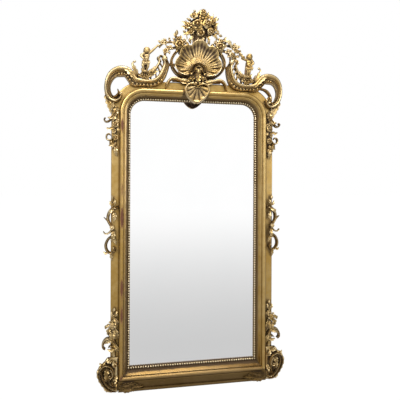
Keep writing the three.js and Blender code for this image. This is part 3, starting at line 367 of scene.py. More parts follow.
# ---- Crest: scrolls, gallery and rings, drawn on the right and mirrored ----
SCROLL = [
    # [share, offset, height, half width], from the loop's inner end to the volute
    (1, 143, -88, 7), (1, 157, -115, 13), (1, 179, -124, 17), (1, 207, -108, 18), (1, 223, -75, 18.5),
    (1, 226, -34, 19), (1, 211, 12, 24), (1, 188, 36, 28), (1, 155, 46, 32), (1, 120, 42, 30),
    (1, 89, 8, 29), (0.85, 119, -10, 29), (0.6, 142, -18, 21), (0.4, 138, -12, 23), (0.2, 164, 14, 24),
    (0.1, 174.5, 57, 22), (0, 196, 98, 19), (0, 203, 124, 14)]
BOWL_START = 11
SCROLL_BALL = (208, 133, 18)
GALLERY = [
    (0.85, 91, 30, 6), (0.6, 132, 35, 8), (0.5, 135.5, 49, 8), (0.35, 154, 69, 8),
    (0.2, 188, 90, 8), (0.1, 208, 112, 8), (0.1, 211, 130, 7), (0.1, 222, 142, 4)]
GALLERY_BARS = [(0.655, 0.12), (0.69, 0.26), (0.725, 0.4), (0.785, 0.56), (0.85, 0.7), (0.91, 0.84)]
RING = [
    (0, 131, 192, 6.5), (0, 152, 166, 8), (0, 165, 130, 8.5), (0, 160, 96, 8.5), (0, 142, 66, 8),
    (0, 117, 44, 7), (0, 88, 31, 6), (0, 60, 32, 5)]
BRANCH = [
    (0, 46, 2, 7), (0, 78, 4, 10), (0, 104, 12, 11), (0, 130, 20, 11), (0, 156, 17, 9.5), (0, 176, 0, 8),
    (0, 186, -22, 6), (0, 189, -42, 3)]


def gallery_bars():
    main, _ = smooth_run(crest_line(SCROLL), 200)
    rim, _ = smooth_run(crest_line(GALLERY), 200)
    return [[(*main[round(a * 200)][:2], 4.5), (*rim[round(b * 200)][:2], 4.5)] for a, b in GALLERY_BARS]


BEADED = (0.4, 0.84)  # shares of the scroll's length between which beads lie
BEAD_PITCH = 20.0


def crest_scroll(tendril):
    """A shoulder scroll: loop, bowl, gallery, volute and foot leaf, with or without the thick tendril."""
    scroll = Carving()
    line = crest_line(SCROLL)
    sweep(scroll, line, CHANNELLED, 40)
    sweep(scroll, crest_line(GALLERY), ROUND, 27)
    for bar in gallery_bars():
        sweep(scroll, bar, ROUND, 20, count=4)
    # The volute at the bowl's inner end: a ball with a curl round it.
    x, height, radius = SCROLL_BALL
    ball(scroll, x, -54, up(height), radius, 20, radius, segments=20, rings=14)
    ball(scroll, x + 4, -66, up(height + 7), 9)
    curl = [(0, 228, 116, 4), (0, 238, 128, 5), (0, 242, 142, 5.5), (0, 232, 152, 5), (0, 222, 148, 4)]
    sweep(scroll, crest_line(curl), ROUND, 32)
    # The outer loop's foot: an eye, a hooked tip and the leaf that runs down the stile's edge.
    ball(scroll, out(1, 146), -56, up(-90), 9)
    sweep(scroll, crest_line([(1, 190, -112, 7), (1, 172, -100, 7), (1, 160, -80, 6), (1, 166, -62, 3.5)]),
          CREASED, 32)
    leaf(scroll, crest_spine([(1, 228, -46, -64), (1, 222, -50, -112), (1, 208, -48, -160),
                              (1, 196, -38, -206)]), 19, lobes=5, cup=0.2, curl=0.2)
    leaf(scroll, crest_spine([(1, 202, -44, -108), (1, 192, -50, -148), (1, 188, -42, -190)]), 15, 4, 0.3)
    # A leaf lies in the channel where the loop turns into the bowl.
    leaf(scroll, crest_spine([(1, 140, -62, 66), (1, 112, -70, 44), (1, 84, -70, 14), (0.9, 92, -62, -14)]),
         14, lobes=4, cup=0.3, thickness=3)
    # Small beads lie in the channel along the bowl.
    run, along = smooth_run(line, 400)
    way = unit(np.gradient(run[:, :2], axis=0))
    for place in np.arange(BEADED[0] * along[-1], BEADED[1] * along[-1], BEAD_PITCH):
        k = np.searchsorted(along, place)
        x, z, half = run[k]
        ball(scroll, x - way[k, 1] * half * 0.48, PLANT_Y - 20, z + way[k, 0] * half * 0.48, 7.5, 7, 7.5,
             segments=12, rings=8)
    if tendril:
        # The thick tendril that crosses the loop's hole, its ball and the leaf that joins it to the foot.
        sweep(scroll, crest_line([(1, 92, -18, 5), (1, 124, -22, 6.5), (1, 146, -33, 8), (1, 164, -52, 7.5),
                                  (1, 174, -70, 6)]), CREASED, 30)
        ball(scroll, out(1, 172), -52, up(-76), 10)
        leaf(scroll, crest_spine([(1, 184, -46, -84), (1, 166, -58, -98), (1, 150, -54, -116)]), 10, 3, 0.3)
    return scroll


def bowl_leaves():
    """The rocaille and leaves that spill out of the scroll's bowl."""
    mass = Carving()

    def at(offset, height, y=-50.0):
        return (out(0.6, offset), y, up(height))

    leaf(mass, [at(170, 10, -44), at(188, 40, -58), at(204, 70, -62), at(213, 90, -60), at(206, 106, -62)],
         14, lobes=4, cup=0.35, thickness=3)
    ball(mass, *at(201, 104, -60), 8)
    leaf(mass, [at(106, 36, -44), at(92, 60, -56), at(80, 86, -54)], 11, lobes=3, cup=0.35)
    leaf(mass, [at(98, 28, -44), at(76, 50, -50), at(58, 60, -48)], 10, lobes=3, cup=0.35)
    leaf(mass, [at(120, 26, -48), at(114, 46, -62), at(102, 64, -60)], 10, lobes=2, cup=0.4)
    leaf(mass, [at(144, 26, -48), at(150, 50, -62), at(160, 68, -60)], 10, lobes=2, cup=0.4)
    # Rocaille: small cockscombs of beads along curved ribs.
    for i, (offset, height, size) in enumerate([(160, 24, 13), (141, 16, 14), (122, 17, 14), (104, 26, 11),
                                                (150, 38, 9), (114, 38, 9)]):
        centre = np.array(at(offset, height, -56))
        for k in range(5):
            turn = math.radians(200 - 55 * k + 14 * i)
            ball(mass, centre[0] + size * math.cos(turn), centre[1] - 3 * (k % 2),
                 centre[2] + size * math.sin(turn), size * 0.3, size * 0.5, size * 0.3, segments=10, rings=6)
        daisy(mass, *centre, size * 0.8, petals=6, turn=0.4 * i)
        ball(mass, centre[0], -44, centre[2], size, 14, size, segments=10, rings=6)
    return mass


def shell_ring():
    """The C-shaped ring beside the shell, with a curl at its upper end."""
    ring = Carving()
    sweep(ring, crest_line(RING), TWIN, 28)
    curl = spiral(131, up(192), 135, 15, 0.95, 1, 7, 3, rise=1.2)
    sweep(ring, crest_line([(0, 144, 178, 8), (0, 131, 192, 8)]) + curl, ROUND, 28)
    ball(ring, 117, -58, up(193), 7)
    return ring


def crest_branch():
    """The branch that arches along the top rail, with sheath leaves near its root."""
    branch = Carving()
    sweep(branch, crest_line(BRANCH), ROUND, 34)
    leaf(branch, crest_spine([(0, 48, -60, 2), (0, 72, -66, 8), (0, 98, -62, 18)]), 8, lobes=3, cup=0.1)
    leaf(branch, crest_spine([(0, 50, -56, -6), (0, 74, -60, -8), (0, 100, -54, -4)]), 7, lobes=2, cup=0.2)
    return branch


# ---- Crest: the scallop and what frames its hinge ----
SHELL_INNER = 20
SHELL_DEGREES = (-38, 218)
SHELL_RIM = [
    # [degrees above the level, distance from the hinge]
    (-38, 72), (-32, 84), (-26, 97), (-18, 113), (-10, 126), (-2, 138), (4, 145), (11, 147), (18, 146),
    (29, 139), (38, 150), (48, 163), (60, 159), (68, 147), (72, 152), (80, 167), (90, 172)]
SHELL_FOLDS = [-38, -12, 4, 29, 67, 113]  # degrees at which the main lobes part
SHELL_FLUTES = [2, 2, 3, 4, 5]  # fine flutes in each lobe
SHELL_DISH = ([0, 0.12, 0.35, 0.6, 0.8, 0.92, 0.97, 1], [30, 26, 15, 10, 15, 27, 33, 31])
LOBE_RISE = 8.5
LIP_RISE = 33


def scallop():
    """A concave fan. Main lobes part at the folds, fine flutes run to the hinge and the lip rolls forward."""
    degrees = np.linspace(*SHELL_DEGREES, 361)
    folded = np.where(degrees > 90, 180 - degrees, degrees)
    reach = np.interp(folded, *np.array(SHELL_RIM, float).T)
    folds = np.array(SHELL_FOLDS, float)
    k = np.clip(np.searchsorted(folds, folded, side="right") - 1, 0, len(folds) - 2)
    across = (folded - folds[k]) / (folds[k + 1] - folds[k])
    lobe = np.sin(np.pi * across) ** 0.7
    flutes = np.array(SHELL_FLUTES)[k]
    fine = 0.5 - 0.5 * np.cos(2 * np.pi * across * flutes)
    v = np.linspace(0, 1, 34)[:, None]
    radius = SHELL_INNER + (reach - SHELL_INNER) * v
    dish = np.interp(v[:, 0], *SHELL_DISH)[:, None]
    lower = np.clip((-folded + 4) / 30, 0, 1)
    dish = dish + lower * 10 * np.sin(np.pi * v)
    ridge = (LOBE_RISE * lobe * np.clip(v * 1.6, 0, 1)
             + 4.2 * fine * np.clip(v * 3, 0.25, 1) * np.clip((1 - v) * 9, 0.15, 1))
    proud = dish + ridge + 5 * np.clip(1 - v * 3, 0, 1)
    turns = np.radians(degrees)
    front = np.stack([radius * np.cos(turns), PLANT_Y - proud, SHELL_Z + radius * np.sin(turns)], -1)
    shell = Carving()
    thicken(shell, front, 5)
    # A thin bright bead follows the lip, and a plain block of wood backs the hinge.
    lip = np.stack([(reach - 1.5) * np.cos(turns), PLANT_Y - (LIP_RISE + LOBE_RISE * lobe),
                    SHELL_Z + (reach - 1.5) * np.sin(turns)], 1)
    tube(shell, [(*p, 2.6) for p in lip[::6]], sides=8)
    ball(shell, 0, PLANT_Y - 12, SHELL_Z, 96, 14, 78, segments=28, rings=12)
    return shell


def hinge_knot():
    """The hooded knot on the shell's hinge, with volutes, side leaves and a hanging leaf."""
    knot = Carving()
    hood = [(0, -39, 60, 6), (0, -38, 84, 8), (0, -22, 104, 9), (0, 0, 111, 10), (0, 22, 104, 9),
            (0, 38, 84, 8), (0, 39, 60, 6)]
    sweep(knot, crest_line(hood), CREASED, 44)
    sweep(knot, crest_line([(0, -24, 58, 5), (0, -22, 78, 6), (0, 0, 92, 7), (0, 22, 78, 6), (0, 24, 58, 5)]),
          ROUND, 52)
    ball(knot, 0, -58, up(66), 25, 22, 22)
    ball(knot, 0, -76, up(60), 10, 9, 15)
    for side in (-1, 1):
        curl = spiral(side * 30, up(62), -90, 13, 1.1, side, 6, 3.5, rise=1.1)
        sweep(knot, crest_line([(0, side * 38, 78, 6), (0, side * 36, 68, 6), (0, side * 30, 62, 6)]) + curl,
              ROUND, 40)
        ball(knot, side * 40, -66, up(46), 8)
        ball(knot, side * 14, -74, up(74), 8, 7, 8)
        for spine, half, cup in (([(12, -66, 40), (26, -76, 22), (36, -68, 2)], 11, 0.4),
                                 ([(20, -60, 30), (42, -66, 24), (60, -56, 14)], 9, 0.3)):
            leaf(knot, [(side * x, y, up(height)) for x, y, height in spine], half, 3, cup)
    leaf(knot, crest_spine([(0, 0, -74, 52), (0, 0, -86, 28), (0, 0, -88, 6), (0, 0, -80, -18)]), 17, lobes=4,
         cup=0.35, thickness=3, curl=0.2)
    ball(knot, 0, -58, up(30), 24, 24, 34)
    ball(knot, 0, -54, up(0), 18, 20, 22)
    return knot


CARTOUCHE_BACK = -66.2


def cartouche():
    """A small heart-shaped scallop with volutes that hangs over the top moulding."""
    heart = Carving()
    half = crest_line([(0, 10, -26, 5), (0, 34, -16, 7), (0, 58, -24, 8), (0, 71, -46, 8.5), (0, 66, -72, 8),
                       (0, 48, -98, 7.5), (0, 24, -120, 7), (0, 4, -131, 6)])
    for side in (-1, 1):
        curl = spiral(side * 10, up(-26), 180 if side > 0 else 0, 11, 1.0, side, 5.5, 3.5, rise=1.1)
        sweep(heart, curl[::-1] + [(side * x, z, w) for x, z, w in half], ROUND, 30, back=CARTOUCHE_BACK)
        ball(heart, side * 12, -90, up(-15), 8)
        ball(heart, side * 30, -84, up(-14), 11, 9, 9)
    degrees = np.linspace(-174, -6, 120)
    turns = np.radians(degrees)
    outline = np.array([(0, -128), (24, -117), (48, -94), (64, -70), (68, -48), (60, -32)], float)
    angles = np.degrees(np.arctan2(outline[:, 1] + 30, outline[:, 0]))
    reach = np.interp(np.where(degrees < -90, -180 - degrees, degrees), angles,
                      np.hypot(outline[:, 0], outline[:, 1] + 30))
    share = (degrees + 174) / 168
    lobe = np.abs(np.sin(np.pi * 7 * share)) ** 0.6
    v = np.linspace(0, 1, 16)[:, None]
    radius = 9 + (reach - 9) * v
    dish = np.interp(v[:, 0], [0, 0.2, 0.55, 0.85, 1], [24, 21, 15, 17, 24])[:, None]
    proud = dish + 6.5 * lobe * np.clip(v * 1.5, 0.1, 1) + 2 * v
    front = np.stack([radius * np.cos(turns), CARTOUCHE_BACK - proud, up(-30) + radius * np.sin(turns)], -1)
    thicken(heart, front, 4)
    # The block behind it, down to the moulding, and its tip below.
    outline = [(-58, -34), (-60, -60), (-40, -92), (0, -126), (40, -92), (60, -60), (58, -34), (20, -26),
               (-20, -26)]
    grid = np.array([[(x * s, y, up(-70 + (z + 70) * s)) for x, z in outline]
                     for s, y in ((0.9, PLANT_Y), (1, -50), (1, -72), (0.86, -78))])
    low = grid[..., 2] < SIGHT_TOP + MOULDING
    grid[..., 1] = np.where(low & (grid[..., 1] > CARTOUCHE_BACK), CARTOUCHE_BACK, grid[..., 1])
    heart.add_run(grid)
    leaf(heart, crest_spine([(0, 0, -81, -100), (0, 0, -91, -114), (0, 0, -89, -126), (0, 0, -79, -136)]), 15,
         lobes=3, cup=0.3, thickness=4)
    return heart


# ---- Crest: flowers ----
BUNCH_X = 1
BUNCH_HEIGHT = 350
BOUQUET = [
    # [across, rise, radius, kind, y, tilt to the side, tilt up]
    (4, 76, 24, "rose", -66, 0.1, 0.3), (-51, 52, 24, "rose", -68, -0.3, 0.3),
    (-29, -6, 36, "rose", -75.4, -0.1, 0.1), (33, 4, 31, "rose", -74, 0.3, 0.1),
    (-80, -10, 22, "daisy", -66, -0.5, 0.1), (71, 22, 22, "rose", -66, 0.5, 0.2),
    (5, 38, 25, "daisy", -66, 0, 0.2), (61, -38, 25, "rose", -66, 0.4, -0.2),
    (-3, -50, 26, "rose", -70, 0, -0.3), (41, 50, 17, "daisy", -60, 0.3, 0.4),
    (-59, -44, 18, "daisy", -62, -0.3, -0.2), (90, -10, 15, "daisy", -56, 0.6, 0)]
BOUQUET_LEAVES = [
    # [across0, rise0, across1, rise1, half width]
    (-75, -5, -125, 12, 14), (-75, -20, -128, -16, 13), (-45, -50, -112, -62, 14), (65, 16, 67, 82, 13),
    (68, 20, 97, 62, 13), (68, -5, 112, 22, 13), (53, -20, 116, -32, 14), (-40, -48, -64, -104, 14),
    (36, -50, 58, -104, 14), (66, -34, 116, -84, 11), (-35, 30, -77, 70, 11), (-15, 50, -21, 94, 10),
    (25, 50, 45, 88, 10), (15, -50, 19, -100, 11), (-71, -32, -91, -70, 9), (-45, 70, -80, 50, 9)]
BOUQUET_BUDS = [
    (-92, -50, -112, -40), (-62, 22, -96, 38), (90, 40, 106, 52), (94, -40, 118, -42), (-68, -84, -58, -118),
    (50, -84, 58, -118), (116, -50, 136, -60), (-41, 80, -55, 90)]
BOUQUET_STEMS = [
    [(-5, -50), (-15, -88), (-9, -126)], [(29, -50), (15, -92), (-3, -128)],
    [(-35, -50), (-49, -82), (-39, -114)], [(61, -50), (53, -92), (35, -124)],
    [(80, -20), (96, -50), (100, -86)], [(-72, -30), (-86, -60), (-80, -88)]]


def mid(rise):
    """Height above the floor of a place in the bunch, from its middle."""
    return up(BUNCH_HEIGHT + rise)


def blossom(carving, x, z, radius, kind, y, aside=0.0, upward=0.0, turn=0.0):
    facing = (aside, -1.0, upward)
    if kind == "rose":
        rose(carving, x, y, z, radius, facing, turn=turn)
    else:
        daisy(carving, x, y, z, radius, facing, turn=turn)


def bouquet():
    bunch = Carving()
    for i, (x, rise, radius, kind, y, aside, upward) in enumerate(BOUQUET):
        blossom(bunch, BUNCH_X + x, mid(rise), radius, kind, y, aside, upward, turn=i * 1.1)
    for i, (x0, h0, x1, h1, half) in enumerate(BOUQUET_LEAVES):
        sway = 5 * (-1) ** i
        bend = (BUNCH_X + (x0 + x1 + sway) / 2, -58, mid((h0 + h1 + sway) / 2))
        leaf(bunch, [(BUNCH_X + x0, -44, mid(h0)), bend, (BUNCH_X + x1, -50, mid(h1))], half,
             lobes=3 + i % 2, cup=0.3 * (-1) ** (i // 2), curl=0.3)
    for x0, h0, x1, h1 in BOUQUET_BUDS:
        tube(bunch, [(BUNCH_X + x0 * 0.75, -46, mid(h0 * 0.75), 2.2), (BUNCH_X + x0, -52, mid(h0), 2)])
        bud(bunch, (BUNCH_X + x0, -52, mid(h0)), (BUNCH_X + x1, -54, mid(h1)), 8)
    for stem in BOUQUET_STEMS:
        tube(bunch, [(BUNCH_X + x, -48 - 4 * (i == 1), mid(rise), 3.4) for i, (x, rise) in enumerate(stem)])
    # The wood in the heart of the bunch, out of sight behind the flowers.
    ball(bunch, BUNCH_X, -40, mid(2), 72, 15, 56, segments=26, rings=12)
    ball(bunch, BUNCH_X - 4, -40, mid(54), 40, 14, 34, segments=20, rings=10)
    return bunch


SWAG_FLOWERS = [
    # [x, height, radius, kind, y]
    (126, 222, 30, "rose", -66), (131, 256, 20, "rose", -58), (98, 246, 18, "daisy", -56),
    (228, 232, 17, "daisy", -56), (206, 180, 18, "rose", -60), (180, 204, 15, "daisy", -56),
    (156, 232, 14, "daisy", -58), (110, 204, 14, "daisy", -62)]
SWAG_STEMS = [
    [(118, 234), (160, 240), (196, 236), (226, 228), (250, 208)],
    [(130, 215), (176, 204), (204, 184), (210, 166), (210, 146)], [(70, 200), (100, 214), (126, 226)]]
SWAG_LEAVES = [
    # [x0, height0, x1, height1, half width]
    (150, 242, 168, 262, 8), (180, 240, 194, 252, 7), (208, 236, 216, 254, 7), (216, 230, 204, 212, 7),
    (240, 226, 256, 240, 7), (248, 216, 240, 198, 7), (134, 226, 158, 220, 9), (150, 206, 138, 188, 9),
    (186, 180, 180, 162, 8), (206, 176, 216, 160, 8), (108, 222, 84, 214, 10), (124, 254, 118, 282, 9),
    (144, 262, 166, 290, 9), (90, 238, 66, 226, 9), (210, 150, 216, 128, 7), (190, 200, 206, 210, 7)]
SWAG_BUDS = [(214, 244, 224, 256), (190, 250, 188, 264), (252, 214, 262, 202), (170, 200, 160, 190)]
SPILL_FLOWERS = [
    (238, 204, 15, "rose"), (258, 186, 13, "daisy"), (224, 168, 16, "rose"), (274, 160, 12, "daisy"),
    (244, 172, 12, "daisy"), (236, 142, 14, "rose"), (222, 212, 12, "daisy")]
SPILL_LEAVES = [
    (262, 190, 280, 162, 9), (240, 150, 250, 122, 9), (222, 164, 208, 144, 9), (270, 168, 292, 172, 9)]


def swag_leaves(swag, rows):
    for x0, h0, x1, h1, half in rows:
        leaf(swag, [(x0, -48, up(h0)), ((x0 + x1) / 2, -60, up((h0 + h1) / 2)), (x1, -54, up(h1))], half,
             lobes=3, cup=0.35)


def garland(side):
    """Roses on the shell's shoulder and the festoon that runs down to the putto's hand."""
    swag = Carving()
    for i, (x, h, radius, kind, y) in enumerate(SWAG_FLOWERS):
        blossom(swag, x, up(h), radius, kind, y, 0.2 * (i % 3), 0.2 * (i % 2), turn=i)
    for stem in SWAG_STEMS:
        tube(swag, [(x, -44, up(h), 3.6) for x, h in stem])
    swag_leaves(swag, SWAG_LEAVES)
    for x0, h0, x1, h1 in SWAG_BUDS:
        bud(swag, (x0, -52, up(h0)), (x1, -56, up(h1)), 6)
    if side > 0:
        # A broad dark leaf bends over this swag's upper end.
        bent = crest_spine([(0, 140, -62, 262), (0, 166, -76, 260), (0, 190, -74, 240), (0, 202, -62, 216)])
        leaf(swag, bent, 15, lobes=3, cup=-0.4, thickness=3)
        # It runs on as a heavy spill of flowers between the scroll's end and the hand.
        for i, (x, h, radius, kind) in enumerate(SPILL_FLOWERS):
            blossom(swag, x, up(h), radius, kind, -56 - 3 * (i % 2), 0.2 * (i % 3), 0.1, turn=i)
        swag_leaves(swag, SPILL_LEAVES)
        tube(swag, [(226, -46, up(226), 4), (256, -46, up(196), 4), (278, -46, up(164), 3)])
        tube(swag, [(226, -46, up(210), 4), (226, -46, up(170), 4), (240, -46, up(136), 3)])
    else:
        # A bud stands up over the roses on this side.
        bud(swag, (150, -56, up(276)), (146, -58, up(312)), 10)
    return swag


# ---- Side ornament, drawn on the right. Outward places are from the middle of the border ----
def edge(offset):
    return BORDER_MIDDLE + offset


def side_places(top):
    """How a spray that hangs from `top` gives its places: one point, and a band's line."""

    def at(offset, drop, y=-46.0):
        return (edge(offset), y, top - drop)

    def line(*rows):
        return [(edge(offset), top - drop, half) for offset, drop, half in rows]

    return at, line


def side_festoon():
    """The upper spray: an acanthus husk, a curl, blossoms, a ring curl, buds and a leaf tip."""
    spray = Carving()
    at, line = side_places(CORNER_Z + 40)
    sweep(spray, line((-2, 0, 4), (-2, 50, 9), (0, 120, 9), (0, 190, 9), (0, 250, 8), (-5, 292, 2)),
          ROUND, 12)
    leaf(spray, [at(-4, 4, -38), at(-4, 30, -52), at(-2, 62, -48)], 17, 4, 0.3)
    leaf(spray, [at(2, 44, -42), at(8, 74, -54), at(18, 100, -46)], 14, 3, 0.3)
    sweep(spray, line((-4, 32, 7), (17, 64, 7), (38, 93, 6), (56, 97, 5.5), (65, 84, 4.5), (58, 74, 3.5)),
          CREASED, 30)
    leaf(spray, [at(8, 58), at(30, 76, -58), at(46, 72, -50)], 10, lobes=3)
    rose(spray, *at(0, 112, -50), 21, (0.1, -1, 0.1))
    daisy(spray, *at(-12, 90, -50), 12, (-0.4, -1, 0.2), petals=6)
    rose(spray, *at(-1, 190, -48), 19, (-0.2, -1, 0))
    daisy(spray, *at(8, 152, -52), 14, (0.3, -1, 0.1), petals=7)
    sweep(spray, line((8, 182, 5), (30, 206, 5.5), (50, 198, 5), (50, 176, 5), (36, 168, 4.5),
                      (28, 178, 3.5)), ROUND, 28)
    leaf(spray, [at(14, 130), at(34, 142, -56), at(52, 132, -48)], 10, 3, 0.4)
    leaf(spray, [at(-8, 130), at(-20, 146, -52), at(-22, 164, -44)], 9, 3, 0.3)
    buds = [(18, 206, 34, 232, 9), (0, 214, 6, 248, 10), (-6, 236, -12, 262, 7), (8, 234, 22, 258, 7)]
    for x0, drop0, x1, drop1, radius in buds:
        bud(spray, at(x0, drop0), at(x1, drop1, -50), radius)
    leaf(spray, [at(-2, 236), at(-3, 268, -52), at(-6, 298, -40)], 12, 4, 0.3)
    leaf(spray, [at(6, 222), at(22, 236, -54), at(40, 238, -46)], 9, 2, 0.3)
    return spray


def side_drop():
    """The middle spray: a pod on a thorn, an S-scroll, a ball, a tendril and a loop."""
    spray = Carving()
    at, line = side_places(SIGHT_BOTTOM + (SIGHT_TOP - SIGHT_BOTTOM) * 0.64)
    bud(spray, at(14, 22, -42), at(18, -6, -46), 8)
    sweep(spray, line((15, 8, 2.5), (13, 44, 5), (14, 78, 5)), ROUND, 16)
    leaf(spray, [at(13, 56), at(4, 40, -54), at(2, 22, -48)], 9, 3, 0.3)
    leaf(spray, [at(14, 58), at(24, 44, -54), at(30, 28, -48)], 9, 3, 0.3)
    x, _, z = at(-10, 74)
    curl = spiral(x, z, 180, 11, 0.8, -1, 5, 3)
    sweep(spray, curl[::-1] + line((-10, 74, 6), (10, 72, 9), (34, 98, 9.5), (41, 138, 9), (26, 172, 8),
                                   (12, 198, 7)), REEDED, 28)
    leaf(spray, [at(6, 78, -52), at(26, 88, -66), at(38, 112, -58)], 11, 3, 0.3)
    leaf(spray, [at(6, 96), at(0, 122, -54), at(8, 150, -50)], 11, 4, 0.35)
    sweep(spray, line((20, 172, 5), (46, 144, 4.5), (66, 124, 1.6)), CREASED, 22)
    ball(spray, *at(17, 186, -50), 14)
    daisy(spray, *at(17, 186, -60), 13, petals=6)
    sweep(spray, line((14, 196, 6), (42, 222, 5), (58, 222, 4), (68, 208, 2)), ROUND, 22)
    sweep(spray, line((10, 196, 7), (15, 232, 7.5), (40, 256, 8), (53, 290, 8.5), (44, 324, 8), (21, 338, 7),
                      (2, 326, 6), (0, 308, 5), (10, 300, 4)), REEDED, 30)
    leaf(spray, [at(12, 204, -52), at(8, 236, -62), at(24, 262, -56)], 12, 4, 0.35)
    leaf(spray, [at(20, 240), at(2, 262, -54), at(-8, 290, -46)], 10, 4, 0.35)
    leaf(spray, [at(20, 330), at(21, 356, -48), at(18, 384, -40)], 9, 3, 0.3)
    leaf(spray, [at(36, 326), at(54, 336, -52), at(66, 326, -46)], 8, 3, 0.3)
    ball(spray, *at(8, 306, -52), 6)
    return spray


def lower_spray():
    """The spray over the foot: a bud, a large flower, acanthus leaves and a hooked leaf curl."""
    spray = Carving()
    at, line = side_places(SIGHT_BOTTOM + (SIGHT_TOP - SIGHT_BOTTOM) * 0.23)
    bud(spray, at(2, 24, -42), at(2, -2, -46), 9)
    sweep(spray, line((2, 12, 3), (4, 60, 7), (8, 130, 8), (6, 200, 9)) + [(edge(4), 210, 12)], ROUND, 16)
    leaf(spray, [at(4, 52), at(-8, 36, -54), at(-12, 18, -46)], 9, lobes=3)
    leaf(spray, [at(4, 52), at(16, 36, -54), at(20, 20, -46)], 9, lobes=3)
    leaf(spray, [at(2, 60), at(-12, 78, -54), at(-20, 104, -44)], 12, 3, 0.3)
    daisy(spray, *at(14, 96, -52), 27, (0.15, -1, 0.1), petals=7)
    rose(spray, *at(14, 96, -58), 15, (0.15, -1, 0.1), rounds=2)
    leaf(spray, [at(18, 112), at(34, 132, -56), at(28, 166, -46)], 14, 4, 0.35)
    leaf(spray, [at(4, 118), at(-8, 148, -56), at(-18, 194, -42)], 17, 5, 0.35)
    leaf(spray, [at(10, 128), at(14, 164, -60), at(8, 206, -48)], 17, 5, 0.3)
    leaf(spray, [at(30, 96), at(46, 104, -54), at(54, 122, -44)], 11, 3, 0.3)
    sweep(spray, line((-6, 208, 6), (14, 184, 9), (46, 183, 9.5), (66, 208, 8), (66, 230, 6), (54, 240, 4)),
          CREASED, 30)
    leaf(spray, [at(8, 188, -54), at(36, 188, -68), at(58, 204, -58)], 11, 4, 0.3)
    sweep(spray, line((-16, 250, 3), (2, 232, 6), (24, 226, 6), (36, 232, 2)), CREASED, 22)
    leaf(spray, [at(-2, 236), at(20, 246, -54), at(42, 242, -46)], 11, 4, 0.3)
    leaf(spray, [at(0, 214), at(-14, 238, -54), at(-18, 268, -44)], 12, 4, 0.3)
    return spray


FOOT_EDGE = [(16, 4), (52, 28), (84, 72), (97, 120), (84, 152), (58, 176), (36, 204)]
FOOT_RIM = [
    # [outward from the edge, y] of the cockled rim
    (-13, -44), (-8, -52), (-2, -56), (3, -54), (6, -46), (5, -36), (0, -32)]
FOOT_SCROLL = [
    # [offset, height, half width], from the inner end round to the lower one
    (-14, 62, 4), (6, 52, 6), (18, 76, 8), (10, 110, 8), (22, 148, 8.5), (52, 160, 9.5), (76, 138, 9.5),
    (74, 100, 9), (54, 58, 9), (22, 26, 8.5), (-10, 18, 7)]
FOOT_LEAVES = [
    # [offset0, height0, offset1, height1, half width]
    (30, 150, 52, 96, 16), (34, 62, 50, 120, 14), (60, 168, 86, 180, 10), (10, 186, 44, 196, 13),
    (-12, 150, 6, 186, 13), (-14, 96, 0, 40, 12), (20, 10, 64, 40, 11)]


def scroll_foot():
    """The bracket at the bottom corner: a shaped board, its cockled rim, a C-scroll and an inner volute."""
    foot = Carving()
    outline = [(-20, 0), (16, 0)] + FOOT_EDGE[1:] + [(-20, 204)]
    rings = []
    for scale, rise in ((1, 0), (1, 12), (0.9, 16), (0.55, 9), (0.2, 11)):
        rings.append([(edge(25 + (x - 25) * scale), PLANT_Y - rise, 100 + (z - 100) * scale if z else 0)
                      for x, z in outline])
    foot.add_run(rings)
    # A rim of cockled rocaille follows the outer edge.
    line, along = smooth_run([(edge(x), z) for x, z in FOOT_EDGE], 60)
    way = unit(np.gradient(line, axis=0))
    beat = np.sin(np.pi * along / along[-1] * 9) ** 2
    outward = np.stack([way[:, 1], -way[:, 0]], 1)
    rows = []
    for depth, y in FOOT_RIM:
        reach = depth * (0.75 + 0.35 * beat)
        rim = line + outward * reach[:, None]
        rows.append(np.stack([rim[:, 0], y - 5 * beat * (y < -40), np.maximum(rim[:, 1], 0.2)], 1))
    thicken(foot, np.array(rows), 4)
    sweep(foot, [(edge(x), z, half) for x, z, half in FOOT_SCROLL], RIMMED, 44, punch=4, pitch=11)
    curl = spiral(edge(10), 110, 250, 14, 1.0, 1, 6, 3)
    sweep(foot, [(edge(22), 146, 6), (edge(12), 126, 6), (edge(10), 110, 6)] + curl, ROUND, 46)
    ball(foot, edge(-6), -66, 64, 8)
    ball(foot, edge(24), -62, 104, 8)
    for x0, z0, x1, z1, half in FOOT_LEAVES:
        bend = (edge((x0 + x1) / 2 + 4), -60, (z0 + z1) / 2)
        leaf(foot, [(edge(x0), -46, z0), bend, (edge(x1), -50, z1)], half, 4, 0.35)
    # Fine ribs fan across the field inside the scroll.
    for i in range(6):
        turn = math.radians(-70 + 28 * i)
        sweep(foot, [(edge(44 + 6 * math.cos(turn)), 104 + 6 * math.sin(turn), 2),
                     (edge(44 + 26 * math.cos(turn)), 104 + 34 * math.sin(turn), 3.5)], ROUND, 22, count=8)
    return foot


# ---- Base ----
BASE_HALF = FRAME_HALF - BORDER + 2
BASE_TOP = 62.7
BASE_SECTION = np.array([
    # [y, height], from the back along the floor and up the front
    (PLANT_Y, 0), (-54.5, 0), (-56, 1.5), (-56, 12.5), (-55, 14.5), (-51, 15.5), (-49, 17), (-51, 20),
    (-53.6, 24), (-55.4, 29), (-56, 35), (-56, 42), (-55.9, 49), (-55.6, 55), (-55, 59), (-53.5, 61.6),
    (-51, BASE_TOP), (PLANT_Y, BASE_TOP)])


def base_moulding():
    """A low rounded band that carries on the torus of the bottom moulding down to the floor."""
    x = np.linspace(-BASE_HALF, BASE_HALF, 74)[:, None]
    y, z = BASE_SECTION.T
    band = Carving()
    band.add_run(np.stack(np.broadcast_arrays(x, y[None], z[None]), -1))
    return band


